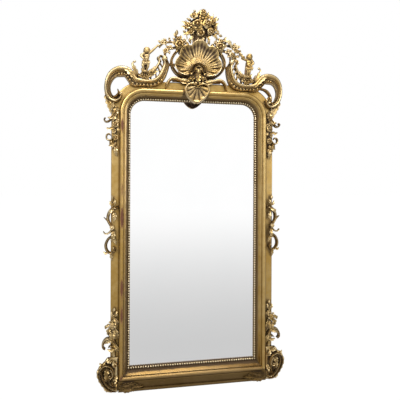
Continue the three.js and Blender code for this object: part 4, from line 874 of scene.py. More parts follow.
def base_leaf():
    """The leaf cluster carved over the end of the base, drawn on the right."""
    cluster = Carving()

    def at(inset, z, y):
        return (BASE_HALF - inset, y, z)

    leaf(cluster, [at(4, 30, -58), at(44, 22, -70), at(92, 34, -68), at(146, 30, -58.5)], 19, lobes=6,
         cup=0.25, thickness=3)
    leaf(cluster, [at(10, 44, -58), at(46, 46, -68), at(84, 52, -64), at(112, 48, -58.5)], 12, 5, 0.3)
    leaf(cluster, [at(10, 16, -58), at(56, 12, -68), at(104, 13, -59)], 11, 5, 0.3)
    leaf(cluster, [at(60, 30, -66), at(84, 20, -74), at(112, 14, -62)], 10, 3, 0.3)
    rib = [(6, 30, 5), (40, 24, 8), (80, 32, 8), (118, 26, 6), (146, 31, 2)]
    sweep(cluster, [(BASE_HALF - inset, z, half) for inset, z, half in rib], ROUND, 11, back=-55.5)
    daisy(cluster, *at(22, 32, -68), 14, petals=6)
    return cluster


# ---- Straight and turned work ----
MOULDING_SECTION = [
    # [outward from the sight edge, y]: rebate, the pearls' seat, cove, fillet and torus
    (0.2, 3.7), (0.2, -2.6), (1.2, -4), (13.3, -4), (13.3, -12.6), (14, -13.8), (15.4, -13.8), (16, -13),
    (16.8, -15.5), (18.8, -22), (21.2, -28.5), (24, -35.5), (27.2, -42.5), (31, -49),
    (31.2, -50.4), (31.9, -51.4), (34.9, -51.4), (35.6, -50.6), (35.9, -48.5), (36.6, -49),
    (36.9, -52.3), (37.9, -56.4), (40, -60.3), (43, -63.3), (46.4, -65), (49.8, -65.5), (53.2, -65),
    (56.6, -63.3), (59.6, -60.3), (61.7, -56.4), (62.7, -52.3), (62.9, -46), (62.9, -38), (63, -30.3),
    (29.7, -30.3), (29.7, 3.7)]
BORDER_SECTION = [
    # [outward from the sight edge, y]: the flat border with its eased outer edges
    (30.3, -29.6), (63.4, -29.6), (64, -30), (78, -30), (92, -30), (104, -30), (108, -29.9), (110.8, -29),
    (112.5, -27.2), (113, -24.6), (113, -8), (113, 8), (113, 22.5), (111.5, 24.6), (109, 25), (30.3, 25)]
STEP = 14.0


def run_along(section, kind, side=1, foot=None):
    """A length of a section round the sight opening: on one side, over a corner, or along top or bottom."""
    u, y = np.array(section, float).T
    if kind == "corner":
        turns = np.linspace(0, math.pi / 2, 25)[:, None]
        x = side * (CORNER_X + (SIGHT_RADIUS + u) * np.cos(turns))
        z = CORNER_Z + (SIGHT_RADIUS + u) * np.sin(turns)
    elif kind == "side":
        head = CORNER_Z - GLUE_GAP
        low = SIGHT_BOTTOM - u + GLUE_GAP if foot is None else np.full(len(u), foot)
        t = np.linspace(0, 1, int((head - low.min()) / STEP))[:, None]
        x = side * (SIGHT_HALF + u) + 0 * t
        z = low + (head - low) * t
    elif kind == "top":
        t = np.linspace(-1, 1, int(2 * CORNER_X / STEP))[:, None]
        x = (CORNER_X - GLUE_GAP) * t + 0 * u
        z = SIGHT_TOP + u + 0 * t
    else:
        t = np.linspace(-1, 1, int(2 * SIGHT_HALF / STEP))[:, None]
        x = (SIGHT_HALF + u - GLUE_GAP / 2) * t
        z = SIGHT_BOTTOM - u + 0 * t
    made = Carving()
    made.add_run(np.stack([x, y + 0 * x, z], -1))
    return made


def eased_block(x0, x1, y0, y1, z0, z1, ease=1.5):
    """A board with its long edges eased, as planed wood has."""
    section = np.array([
        (y0 + ease, z0), (y1 - ease, z0), (y1, z0 + ease), (y1, z1 - ease), (y1 - ease, z1), (y0 + ease, z1),
        (y0, z1 - ease), (y0, z0 + ease)])
    inward = np.sign(section - np.array([(y0 + y1) / 2, (z0 + z1) / 2]))
    xs = np.array([x0, x0 + 0.6, *np.linspace(x0 + 2, x1 - 2, 12), x1 - 0.6, x1])
    shrink = np.where((xs < x0 + 0.5) | (xs > x1 - 0.5), 0.8, 0.0)
    board = Carving()
    board.add_run([[(x, *point) for point in section - inward * s] for x, s in zip(xs, shrink)])
    return board


# ---- Putti ----
PUTTO_X = 318
PUTTO_Z = up(50)
CURLS = 44
GOLDEN_TURN = math.pi * (3 - math.sqrt(5))  # spreads the curls evenly over the head
LEFT_POSE = {"turn": 14, "raised": [(-12, 106), (-34, 126), (-58, 150), (-72, 158)],
             "resting": [(14, 104), (31, 92), (18, 74)], "legs": (-4, 6)}
RIGHT_POSE = {"turn": -12, "raised": [(-12, 104), (-32, 106), (-52, 122), (-68, 142)],
              "resting": [(14, 104), (27, 84), (10, 68)], "legs": (5, -5)}


def limb(carving, points, y, radii):
    """A chain of joints: balls with a tapering run between them."""
    rows = [(x, y + dy, z, r) for (x, z, dy), r in zip(points, radii)]
    tube(carving, rows, sides=14)
    for x, yy, z, r in rows:
        ball(carving, x, yy, z, r * 1.02, segments=16, rings=10)


def remeshed(carving, name, voxel, smoothing):
    """Melts overlapping shapes into one skin and returns its points and quads."""
    mesh = mesh_from(name, carving)
    lump = bpy.data.objects.new(name, mesh)
    bpy.context.scene.collection.objects.link(lump)
    melt = lump.modifiers.new("Melt", "REMESH")
    melt.mode = "VOXEL"
    melt.voxel_size = voxel * MM
    soften = lump.modifiers.new("Soften", "SMOOTH")
    soften.iterations = smoothing
    soften.factor = 0.6
    made = bpy.data.meshes.new_from_object(lump.evaluated_get(bpy.context.evaluated_depsgraph_get()))
    points = vertices_of(made)
    corners = np.empty(len(made.loops), int)
    made.loops.foreach_get("vertex_index", corners)
    bpy.data.objects.remove(lump)
    bpy.data.meshes.remove(mesh)
    bpy.data.meshes.remove(made)
    return points / MM, corners.reshape(-1, 4)


def putto(side, pose):
    """A small nude boy with a leaf skirt. One arm holds the festoon and the other rests on the hip."""
    y = -58.0

    def at(dx, dz):
        return side * (PUTTO_X + dx), PUTTO_Z + dz

    body = Carving()
    for dx, dz, rx, ry, rz in [
            (0, 122, 19, 18, 20), (0, 102, 9, 8, 8), (0, 90, 20.5, 14, 14), (0, 75, 18, 15, 15),
            (1, 61, 18.5, 16, 14), (-11, 97, 9, 8, 8), (11, 97, 9, 8, 8)]:
        x, z = at(dx, dz)
        ball(body, x, y, z, rx, ry, rz, segments=24, rings=16)
    near, far = pose["legs"]
    limb(body, [(*at(-8, 56), 0), (*at(-10 + near, 32), -5), (*at(-9, 10), 2)], y, [11.5, 8.5, 5.5])
    limb(body, [(*at(9, 56), 0), (*at(11 + far, 32), -7), (*at(8, 10), 0)], y, [11.5, 8.5, 5.5])
    for dx in (-9, 8):
        x, z = at(dx, 4)
        ball(body, x, y - 6, z, 5.5, 11, 4.5)
    raised = [(*at(*p), -3 * i) for i, p in enumerate(pose["raised"])]
    limb(body, raised, y, [9, 7.8, 6, 5])
    resting = [(*at(*p), -4 * i) for i, p in enumerate(pose["resting"])]
    limb(body, resting, y, [9, 7.4, 5.6])
    # The face: cheeks, chin, nose and lips, then shallow eye sockets pressed in.
    turn = math.radians(pose["turn"])
    hx, hz = at(0, 122)

    def face(right, forward, rise):
        return (hx + right * math.cos(turn) - forward * math.sin(turn),
                y - forward * math.cos(turn) - right * math.sin(turn), hz + rise)

    for right, forward, rise, rx, ry, rz in [
            (-6.5, 10.5, -4.5, 5, 5, 5), (6.5, 10.5, -4.5, 5, 5, 5), (0, 11.5, -11.5, 4.6, 4.4, 4),
            (0, 15.6, -2, 2.2, 3.2, 3.2), (0, 14.6, -7.4, 3.2, 2.4, 1.5), (0, 12.4, 7.5, 9, 4.4, 6)]:
        ball(body, *face(right, forward, rise), rx, ry, rz)
    points, quads = remeshed(body, "putto_lump", 1.7, 4)
    for right in (-5.6, 5.6):
        socket = np.array(face(right, 15.2, 1.8))
        near_eye = np.exp(-((np.linalg.norm((points - socket) * (1, 0.6, 1.25), axis=1) / 3.0) ** 2))
        points[:, 1] += 2.6 * near_eye
    mouth = np.array(face(0, 16, -7.2))
    dent = np.exp(-(((points[:, 0] - mouth[0]) / 3.6) ** 2) - ((points[:, 2] - mouth[2]) / 0.8) ** 2)
    points[:, 1] += 1.1 * dent * (points[:, 1] < y)
    figure = Carving()
    figure.add(points, quads)
    # Eyelids, then curls of hair over the crown and back of the head.
    for right in (-5.6, 5.6):
        ball(figure, *face(right, 12.0, 1.6), 3.0, 2.8, 1.9, segments=12, rings=8)
    for i in range(CURLS):
        rise = 1 - 1.25 * (i + 0.5) / CURLS
        reach = math.sqrt(max(0, 1 - rise * rise))
        across, ahead = reach * math.cos(GOLDEN_TURN * i), reach * math.sin(GOLDEN_TURN * i)
        if ahead > 0.25 and rise < 0.55:
            continue
        ball(figure, *face(18 * across, 17 * ahead, 18.2 * rise + 1), 5, 4.8, 4.4, segments=9, rings=6)
    # Leaf skirt, and a ribbon over the raised arm's shoulder.
    for i, dx in enumerate((-15, -8, 0, 8, 15)):
        x0, z0 = at(dx * 0.8, 62)
        x1, z1 = at(dx * 1.35, 36 - 4 * (i % 2))
        bend = ((x0 + x1) / 2, y - 19, (z0 + z1) / 2 + 3)
        leaf(figure, [(x0, y - 13, z0), bend, (x1, y - 13, z1)], 9, lobes=3, cup=0.3)
    sweep(figure, [(*at(-15, 65), 3.5), (*at(0, 59), 4), (*at(16, 65), 3.5)], REEDED, 9, back=y - 9)
    x, z = at(0, 2)
    ball(figure, x, y + 2, z - 4, 22, 14, 9)
    # A post behind the figure ties it to the board.
    x, z = at(0, 30)
    tube(figure, [(x, PLANT_Y, z, 8), (x, y, z, 8)])
    return figure


# ---- Openwork board behind the crest ----
CREST_BACK_Y = -12.0


def disc(carving, x, z, rx, rz, front=PLANT_Y, back=CREST_BACK_Y):
    """An oval of board with an eased front edge."""
    turns = np.linspace(0, 2 * math.pi, 48, endpoint=False)
    carving.add_run([np.stack([x + rx * s * np.cos(turns), np.full(48, y), z + rz * s * np.sin(turns)], 1)
                     for s, y in ((1, back), (1, front + 1.5), (0.985, front))])


def crest_board():
    """The sawn backing of the crest: it follows the carving's outline a little inside its edge."""
    board = Carving()

    def strip(line, inset=2.0):
        rows = [(x, z, max(3, w - inset)) for x, z, w in line]
        sweep(board, rows, FLAT, CREST_BACK_Y - PLANT_Y, back=CREST_BACK_Y, count=max(6, len(rows) * 4))

    for x, height, rx, rz in [(0, 83, 118, 98), (0, 180, 92, 66), (BUNCH_X + 5, BUNCH_HEIGHT - 10, 88, 54),
                              (BUNCH_X + 1, BUNCH_HEIGHT + 50, 40, 30)]:
        disc(board, x, up(height), rx, rz)
    strip([(0, up(180), 44), (0, mid(-20), 44)])
    strip([(0, up(1), 78), (0, up(60), 78)])
    for side in (-1, 1):
        for line in (crest_line(SCROLL[BOWL_START:]), crest_line(GALLERY), crest_line(RING),
                     *gallery_bars()[2:4],
                     [(100, up(108), 9), (200, up(108), 9)], [(60, up(12), 11), (150, up(14), 11)],
                     [(70, up(200), 12), (126, up(226), 12)], [(131, up(190), 6), (128, up(214), 6)],
                     [(126, up(230), 7), (160, up(246), 6), (222, up(236), 7), (244, up(210), 6)],
                     [(130, up(215), 7), (176, up(206), 7), (200, up(186), 7), (204, up(140), 6)],
                     [(out(0.6, 132), up(2), 12), (out(0.6, 135), up(60), 16), (out(0.6, 135), up(150), 12)],
                     [(out(0.6, 94), up(50), 8), (out(0.6, 135), up(38), 14), (out(0.6, 172), up(34), 9),
                      (out(0.6, 196), up(70), 6)]):
            strip([(side * x, z, w) for x, z, w in line])
        disc(board, side * 126, up(226), 24, 24)
    # Each layer is thinner than the last by a hair, so that no two faces lie in one plane.
    middle = (CREST_BACK_Y + PLANT_Y) / 2
    for i, points in enumerate(board.points):
        points[:, 1] = middle + (points[:, 1] - middle) * (1 - 0.01 * (i % 28))
    return board


# ---- From carvings to meshes ----
def vertices_of(mesh):
    points = np.empty(len(mesh.vertices) * 3)
    mesh.vertices.foreach_get("co", points)
    return points.reshape(-1, 3)


def mesh_from(name, carving):
    points = np.concatenate(carving.points) * MM
    quads = np.concatenate(carving.quads)
    corners = np.concatenate([quads.ravel()] + [np.array(cap) for cap in carving.caps])
    sizes = np.array([4] * len(quads) + [len(cap) for cap in carving.caps])
    mesh = bpy.data.meshes.new(name)
    mesh.vertices.add(len(points))
    mesh.vertices.foreach_set("co", points.ravel())
    mesh.loops.add(len(corners))
    mesh.loops.foreach_set("vertex_index", corners.astype(np.int32))
    mesh.polygons.add(len(sizes))
    mesh.polygons.foreach_set("loop_start", np.concatenate([[0], np.cumsum(sizes)[:-1]]).astype(np.int32))
    mesh.update(calc_edges=True)
    mesh.validate()
    return mesh


FIELD_CELL = 3.0
FIELD_LOW = (-600.0, -30.0)
FIELD_SIZE = (400, 790)
FIELD_BACK = -24.0


def front_field(carvings):
    """The foremost depth over the front, in cells, as a dome of gold would meet a hand laid on it."""
    field = np.full(FIELD_SIZE, FIELD_BACK)
    shares = np.linspace(0, 1, 4)
    for carving in carvings:
        corners = np.concatenate(carving.points)[np.concatenate(carving.quads)]
        for s in shares:
            for t in shares:
                p = ((corners[:, 0] * (1 - s) + corners[:, 1] * s) * (1 - t)
                     + (corners[:, 3] * (1 - s) + corners[:, 2] * s) * t)
                i = ((p[:, 0] - FIELD_LOW[0]) / FIELD_CELL).astype(int)
                k = ((p[:, 2] - FIELD_LOW[1]) / FIELD_CELL).astype(int)
                cell = (np.clip(i, 0, FIELD_SIZE[0] - 1), np.clip(k, 0, FIELD_SIZE[1] - 1))
                np.minimum.at(field, cell, p[:, 1])
    return field


def blurred(field, reach):
    """The field smoothed by a bell of the given reach, in millimetres."""
    fx = np.fft.fftfreq(FIELD_SIZE[0])[:, None]
    fz = np.fft.rfftfreq(FIELD_SIZE[1])[None, :]
    bell = np.exp(-2 * (math.pi * reach / FIELD_CELL) ** 2 * (fx**2 + fz**2))
    return np.fft.irfft2(np.fft.rfft2(field) * bell, s=FIELD_SIZE)


def look_up(field, points):
    x = np.clip((points[:, 0] - FIELD_LOW[0]) / FIELD_CELL - 0.5, 0, FIELD_SIZE[0] - 1.001)
    z = np.clip((points[:, 2] - FIELD_LOW[1]) / FIELD_CELL - 0.5, 0, FIELD_SIZE[1] - 1.001)
    i, k = x.astype(int), z.astype(int)
    a, b = x - i, z - k
    return ((field[i, k] * (1 - a) + field[i + 1, k] * a) * (1 - b)
            + (field[i, k + 1] * (1 - a) + field[i + 1, k + 1] * a) * b)


def set_attribute(mesh, name, values):
    layer = mesh.attributes.new(name, "FLOAT", "POINT")
    layer.data.foreach_set("value", np.asarray(values, np.float32))


# ---- Finishes ----
class Tree:
    """A short way to lay nodes: each call returns the socket that matters."""

    def __init__(self, tree):
        self.tree = tree
        self.coords = None

    def node(self, kind, settings=None, **inputs):
        made = self.tree.nodes.new(kind)
        for key, value in (settings or {}).items():
            setattr(made, key, value)
        for key, value in inputs.items():
            self.feed(made.inputs[key.replace("_", " ")], value)
        return made

    def feed(self, socket, value):
        if isinstance(value, bpy.types.NodeSocket):
            self.tree.links.new(value, socket)
        else:
            socket.default_value = value

    def math(self, operation, a, b=0.0, clamp=False):
        made = self.tree.nodes.new("ShaderNodeMath")
        made.operation = operation
        made.use_clamp = clamp
        self.feed(made.inputs[0], a)
        self.feed(made.inputs[1], b)
        return made.outputs[0]

    def ramp(self, value, low, high, to_low=0.0, to_high=1.0):
        made = self.node("ShaderNodeMapRange", {"interpolation_type": "SMOOTHSTEP"}, Value=value)
        for key, number in (("From Min", low), ("From Max", high), ("To Min", to_low), ("To Max", to_high)):
            self.feed(made.inputs[key], number)
        return made.outputs["Result"]

    def mix(self, share, a, b, blend="MIX"):
        made = self.tree.nodes.new("ShaderNodeMix")
        made.data_type = "RGBA"
        made.blend_type = blend
        for index, value in ((0, share), (6, a), (7, b)):
            self.feed(made.inputs[index], value)
        return made.outputs[2]

    def place(self, scale=(1, 1, 1)):
        if self.coords is None:
            self.coords = self.node("ShaderNodeTexCoord").outputs["Object"]
        if scale == (1, 1, 1):
            return self.coords
        made = self.node("ShaderNodeMapping", Vector=self.coords)
        made.inputs["Scale"].default_value = scale
        return made.outputs["Vector"]

    def noise(self, scale, detail=3.0, roughness=0.5, stretch=(1, 1, 1), distortion=0.0):
        made = self.node("ShaderNodeTexNoise", Vector=self.place(stretch), Scale=scale, Detail=detail,
                         Roughness=roughness, Distortion=distortion)
        return made.outputs["Fac"]

    def attribute(self, name):
        return self.node("ShaderNodeAttribute", {"attribute_name": name}).outputs["Fac"]


def aged_leaf_and_painted_light():
    """Gold leaf over red bole, with a painted highlight where it stands proud and umber glaze in the hollows
    that is also painted shade.
    """
    group = bpy.data.node_groups.new("Aged leaf with painted light", "ShaderNodeTree")
    for name, kind, default in [
            ("Gold", "Color", (0.6, 0.4, 0.15, 1)), ("Bright", "Color", (0.9, 0.7, 0.4, 1)),
            ("Glaze", "Color", (0.08, 0.04, 0.015, 1)), ("Bole", "Color", (0.2, 0.07, 0.03, 1)),
            ("Glaze Amount", "Float", 1.0), ("Rubbing", "Float", 0.6), ("Bole Amount", "Float", 0.2),
            ("Roughness", "Float", 0.35)]:
        socket = group.interface.new_socket(name=name, in_out="INPUT", socket_type="NodeSocket" + kind)
        socket.default_value = default
    for name, kind in (("Colour", "Color"), ("Roughness", "Float"), ("Metal", "Float"), ("Height", "Float")):
        group.interface.new_socket(name=name, in_out="OUTPUT", socket_type="NodeSocket" + kind)
    t = Tree(group)
    given = t.node("NodeGroupInput").outputs
    relief = t.attribute("relief")
    wear = t.attribute("wear")
    broad = t.noise(6, 3)
    patch = t.noise(34, 5, 0.6)
    speck = t.noise(150, 4, 0.65)
    grain = t.noise(420, 2)
    # Warm and pale leaves lie side by side.
    tint = t.math("ADD", t.math("MULTIPLY", broad, 0.55), t.math("MULTIPLY", patch, 0.45))
    leaves = t.ramp(tint, 0.4, 0.62)
    colour = t.mix(t.math("MULTIPLY", leaves, 0.35), given["Gold"], given["Bright"])
    # Painted highlight on proud tops, broken by specks.
    proud = t.math("MULTIPLY", t.ramp(relief, 0.55, 0.95), t.ramp(speck, 0.35, 0.6, 0.45, 1.0))
    colour = t.mix(t.math("MULTIPLY", proud, given["Rubbing"]), colour, given["Bright"])
    # Bole shows through in streaks and specks.
    bare = t.ramp(t.math("ADD", wear, t.math("MULTIPLY", speck, 0.5)), 0.55, 0.95)
    stray = t.math("MULTIPLY", t.ramp(t.math("MULTIPLY", speck, patch), 0.3, 0.4), given["Bole Amount"])
    red = t.math("MAXIMUM", bare, stray, clamp=True)
    colour = t.mix(red, colour, given["Bole"])
    # Umber glaze in the hollows, which is also painted shade in recesses and under parts in front.
    uneven = t.math("SUBTRACT", relief, t.math("MULTIPLY", t.math("SUBTRACT", patch, 0.5), 0.35))
    deep = t.math("MULTIPLY", t.ramp(uneven, 0.52, 0.12), given["Glaze Amount"], clamp=True)
    colour = t.mix(deep, colour, given["Glaze"])
    rough = t.math("ADD", given["Roughness"], t.math("MULTIPLY", t.math("SUBTRACT", patch, 0.5), 0.25))
    rough = t.math("ADD", rough, t.math("MULTIPLY", t.math("MAXIMUM", deep, red), 0.3), clamp=True)
    dull = t.math("ADD", t.math("MULTIPLY", deep, 0.6), t.math("MULTIPLY", red, 0.5))
    metal = t.math("SUBTRACT", 1.0, dull, clamp=True)
    fine = t.math("ADD", t.math("MULTIPLY", speck, 0.35), t.math("MULTIPLY", grain, 0.12))
    height = t.math("ADD", t.math("MULTIPLY", patch, 0.9), fine)
    height = t.math("SUBTRACT", height, t.math("MULTIPLY", red, 0.12))
    t.node("NodeGroupOutput", Colour=colour, Roughness=rough, Metal=metal, Height=height)
    return group


def new_material(name):
    material = bpy.data.materials.new(name)
    material.use_nodes = True
    material.node_tree.nodes.clear()
    t = Tree(material.node_tree)
    shader = t.node("ShaderNodeBsdfPrincipled")
    t.node("ShaderNodeOutputMaterial", Surface=shader.outputs["BSDF"])
    return material, t, shader


# Umber glaze, which is also the colour of the painted shade in hollows and under parts in front.
UMBER_GLAZE_AND_SHADE = (0.05, 0.026, 0.0095)
BOLE = (0.15, 0.058, 0.028)


def gilt(name, group, gold, bright, glaze_and_shade, highlight, bare, roughness, bump):
    """Leaf of one gold, with its pale colour, used for random leaves and the painted highlight, and how much
    it takes of glaze and painted shade, of painted highlight and of bared bole.
    """
    material, t, shader = new_material(name)
    leaf_over_bole = t.node("ShaderNodeGroup", {"node_tree": group}, Gold=(*gold, 1), Bright=(*bright, 1),
                            Glaze=(*UMBER_GLAZE_AND_SHADE, 1), Bole=(*BOLE, 1), Glaze_Amount=glaze_and_shade, Rubbing=highlight,
                            Bole_Amount=bare, Roughness=roughness).outputs
    t.feed(shader.inputs["Base Color"], leaf_over_bole["Colour"])
    t.feed(shader.inputs["Roughness"], leaf_over_bole["Roughness"])
    t.feed(shader.inputs["Metallic"], leaf_over_bole["Metal"])
    relief = t.node("ShaderNodeBump", Strength=bump, Distance=0.0012, Height=leaf_over_bole["Height"])
    t.feed(shader.inputs["Normal"], relief.outputs["Normal"])
    return material


def pine_finish(name, pale, dark, along=(1, 1, 1)):
    """Old softwood: long grain and growth rings, darkened by dust and handling."""
    material, t, shader = new_material(name)
    grain = t.noise(60, 6, 0.6, stretch=along, distortion=0.6)
    figure = t.noise(7, 3, 0.5, stretch=along, distortion=1.5)
    rings = t.math("FRACT", t.math("MULTIPLY", figure, 9.0))
    rings = t.math("MULTIPLY", t.ramp(rings, 0.0, 0.7), t.ramp(rings, 1.0, 0.8))
    dust = t.noise(4, 4, 0.6)
    colour = t.mix(t.math("MULTIPLY", rings, 0.45), (*pale, 1), (*dark, 1))
    colour = t.mix(t.ramp(grain, 0.45, 0.7, 0.0, 0.55), colour, (*dark, 1))
    colour = t.mix(t.ramp(dust, 0.4, 0.7, 0.0, 0.35), colour, (0.2, 0.165, 0.13, 1))
    t.feed(shader.inputs["Base Color"], colour)
    t.feed(shader.inputs["Roughness"], t.ramp(grain, 0.3, 0.7, 0.62, 0.85))
    relief = t.node("ShaderNodeBump", Strength=0.4, Distance=0.001, Height=grain)
    t.feed(shader.inputs["Normal"], relief.outputs["Normal"])
    return material


def iron_finish():
    material, t, shader = new_material("Forged iron")
    scale = t.noise(160, 5, 0.65)
    rust = t.ramp(t.noise(45, 5, 0.65), 0.52, 0.68)
    colour = t.mix(scale, (0.03, 0.028, 0.026, 1), (0.075, 0.07, 0.065, 1))
    colour = t.mix(t.math("MULTIPLY", rust, 0.6), colour, (0.13, 0.055, 0.022, 1))
    t.feed(shader.inputs["Base Color"], colour)
    t.feed(shader.inputs["Metallic"], t.math("SUBTRACT", 0.9, t.math("MULTIPLY", rust, 0.7)))
    t.feed(shader.inputs["Roughness"], t.ramp(scale, 0.3, 0.7, 0.4, 0.62))
    relief = t.node("ShaderNodeBump", Strength=0.5, Distance=0.0006, Height=scale)
    t.feed(shader.inputs["Normal"], relief.outputs["Normal"])
    return material


def silvered_glass():
    """A clear silvered plate with the faintest cloudiness in soft patches."""
    material, t, shader = new_material("Silvered plate")
    cloud = t.ramp(t.noise(3, 4, 0.6), 0.3, 0.75)
    t.feed(shader.inputs["Base Color"], t.mix(cloud, (1.0, 1.0, 1.0, 1), (0.985, 0.99, 0.992, 1)))
    shader.inputs["Metallic"].default_value = 1.0
    shader.inputs["Roughness"].default_value = 0.0
    return material


# ---- Studio ----
def make_camera():
    data = bpy.data.cameras.new("Camera")
    data.lens = 34.92
    data.sensor_width = 36
    data.shift_y = -0.0381
    camera = bpy.data.objects.new("Camera", data)
    camera.location = (-0.3836, -2.3918, 1.2288)
    camera.rotation_euler = (math.radians(90), math.radians(-0.25), math.radians(-10.03))
    bpy.context.scene.collection.objects.link(camera)
    bpy.context.scene.camera = camera


def make_lamp(name, place, aim, size, power, colour=(1, 1, 1)):
    data = bpy.data.lights.new(name, "AREA")
    data.size = size
    data.energy = power
    data.color = colour
    lamp = bpy.data.objects.new(name, data)
    lamp.location = place
    toward = Vector(aim) - Vector(place)
    lamp.rotation_euler = toward.to_track_quat("-Z", "Y").to_euler()
    bpy.context.scene.collection.objects.link(lamp)


def make_world():
    """White behind the object and in the mirror, with a softer, darker room to the sides of the gilding."""
    world = bpy.data.worlds.new("Studio")
    world.use_nodes = True
    world.node_tree.nodes.clear()
    t = Tree(world.node_tree)
    path = t.node("ShaderNodeLightPath").outputs
    way = t.node("ShaderNodeSeparateXYZ", Vector=t.node("ShaderNodeTexCoord").outputs["Generated"]).outputs
    ahead = t.ramp(t.math("MULTIPLY", way["Y"], -1.0), 0.55, 0.9, 0.34, 1.0)
    above = t.ramp(way["Z"], 0.25, 0.8, 0.0, 0.6)
    left = t.ramp(way["X"], -0.3, -0.9, 0.0, 0.5)
    room = t.math("MAXIMUM", ahead, t.math("MAXIMUM", above, left))
    soft = t.ramp(way["Z"], -0.3, 0.9, 0.3, 0.75)
    seen = t.math("MAXIMUM", path["Is Camera Ray"], path["Is Transmission Ray"])
    strength = t.mix(path["Is Glossy Ray"], soft, room)
    strength = t.mix(seen, strength, (1, 1, 1, 1))
    t.node("ShaderNodeOutputWorld", Surface=t.node(
        "ShaderNodeBackground", Color=(1, 1, 1, 1), Strength=strength).outputs["Background"])
    bpy.context.scene.world = world


FLOOR_NEAR_TONE = 0.604  # a light grey
FLOOR_FAR = 16.5  # metres in front of the mirror
FADE_START = 0.6
FADE_LENGTH = 4.2
FADE_POWER = 1.15
FADE_STOPS = 16


def floor_tone(distance):
    """The mirrored floor's brightness: light grey near the mirror, fading to white far in front."""
    grey = math.exp(-((max(0, distance - FADE_START) / FADE_LENGTH) ** FADE_POWER))
    return 1 - (1 - FLOOR_NEAR_TONE) * grey


def make_floor():
    """A pale floor that keeps the object's soft shadow. In reflections it shows a painted grey ramp that runs
    to white far in front.
    """
    half = 40.0
    mesh = bpy.data.meshes.new("Floor")
    corners = [(-half, -half, 0), (half, -half, 0), (half, half, 0), (-half, half, 0)]
    mesh.from_pydata(corners, [], [(0, 1, 2, 3)])
    floor = bpy.data.objects.new("Floor", mesh)
    bpy.context.scene.collection.objects.link(floor)
    material = bpy.data.materials.new("Pale floor")
    material.use_nodes = True
    material.node_tree.nodes.clear()
    t = Tree(material.node_tree)
    away = t.node("ShaderNodeSeparateXYZ", Vector=t.place()).outputs["Y"]
    ramp = t.node("ShaderNodeValToRGB", Fac=t.math("DIVIDE", away, -FLOOR_FAR, clamp=True))
    stops = ramp.color_ramp.elements
    stops[0].color = (FLOOR_NEAR_TONE, FLOOR_NEAR_TONE, FLOOR_NEAR_TONE, 1)
    for i in range(1, FADE_STOPS):
        share = (i / FADE_STOPS) ** 2
        tone = floor_tone(share * FLOOR_FAR)
        stops.new(share).color = (tone, tone, tone, 1)
    path = t.node("ShaderNodeLightPath").outputs
    white = t.node("ShaderNodeEmission", Color=(1, 1, 1, 1), Strength=1.04).outputs[0]
    paint = t.node("ShaderNodeBsdfDiffuse", Color=(0.9, 0.9, 0.9, 1)).outputs[0]
    # Painted reflection, seen only by glossy rays: light grey near the mirror, white far in front.
    painted_reflection = t.node("ShaderNodeEmission", Color=ramp.outputs["Color"]).outputs[0]
    seen = t.node("ShaderNodeMixShader", Fac=0.92)
    t.feed(seen.inputs[1], paint)
    t.feed(seen.inputs[2], white)
    camera_or_not = t.node("ShaderNodeMixShader", Fac=path["Is Camera Ray"])
    t.feed(camera_or_not.inputs[1], paint)
    t.feed(camera_or_not.inputs[2], seen.outputs[0])
    glossy = t.node("ShaderNodeMixShader", Fac=path["Is Glossy Ray"])
    t.feed(glossy.inputs[1], camera_or_not.outputs[0])
    t.feed(glossy.inputs[2], painted_reflection)
    t.node("ShaderNodeOutputMaterial", Surface=glossy.outputs[0])
    mesh.materials.append(material)


# ---- Assembly ----
CREST_NODES = ("crest_", "putto_", "bowl_leaves_", "garland_")
PIECES = []


def piece(name, carving, replaced, material, slot="gilding"):
    if replaced[0].startswith(CREST_NODES):
        carving.points = [leaned(points) for points in carving.points]
    PIECES.append((name, carving, replaced, material, slot))


def pearls_tree(material):
    """Pearls set at an even pitch along a line."""
    tree = bpy.data.node_groups.new("Pearl course", "GeometryNodeTree")
    for name, kind, default in (("Line", "Geometry", None), ("Pitch", "Float", PEARL_PITCH * MM),
                                ("Radius", "Float", PEARL_RADIUS * MM)):
        socket = tree.interface.new_socket(name=name, in_out="INPUT", socket_type="NodeSocket" + kind)
        if default is not None:
            socket.default_value = default
    tree.interface.new_socket(name="Pearls", in_out="OUTPUT", socket_type="NodeSocketGeometry")
    t = Tree(tree)
    given = t.node("NodeGroupInput").outputs
    line = t.node("GeometryNodeResampleCurve", {"mode": "LENGTH"}, Curve=given["Line"], Length=given["Pitch"])
    pearl = t.node("GeometryNodeMeshIcoSphere", Radius=given["Radius"], Subdivisions=2)
    round_pearl = t.node("GeometryNodeSetShadeSmooth", Geometry=pearl.outputs["Mesh"])
    strung = t.node("GeometryNodeInstanceOnPoints", Points=line.outputs["Curve"],
                    Instance=round_pearl.outputs["Geometry"])
    real = t.node("GeometryNodeRealizeInstances", Geometry=strung.outputs["Instances"])
    gilded = t.node("GeometryNodeSetMaterial", Geometry=real.outputs["Geometry"], Material=material)
    t.node("NodeGroupOutput", Pearls=gilded.outputs["Geometry"])
    return tree


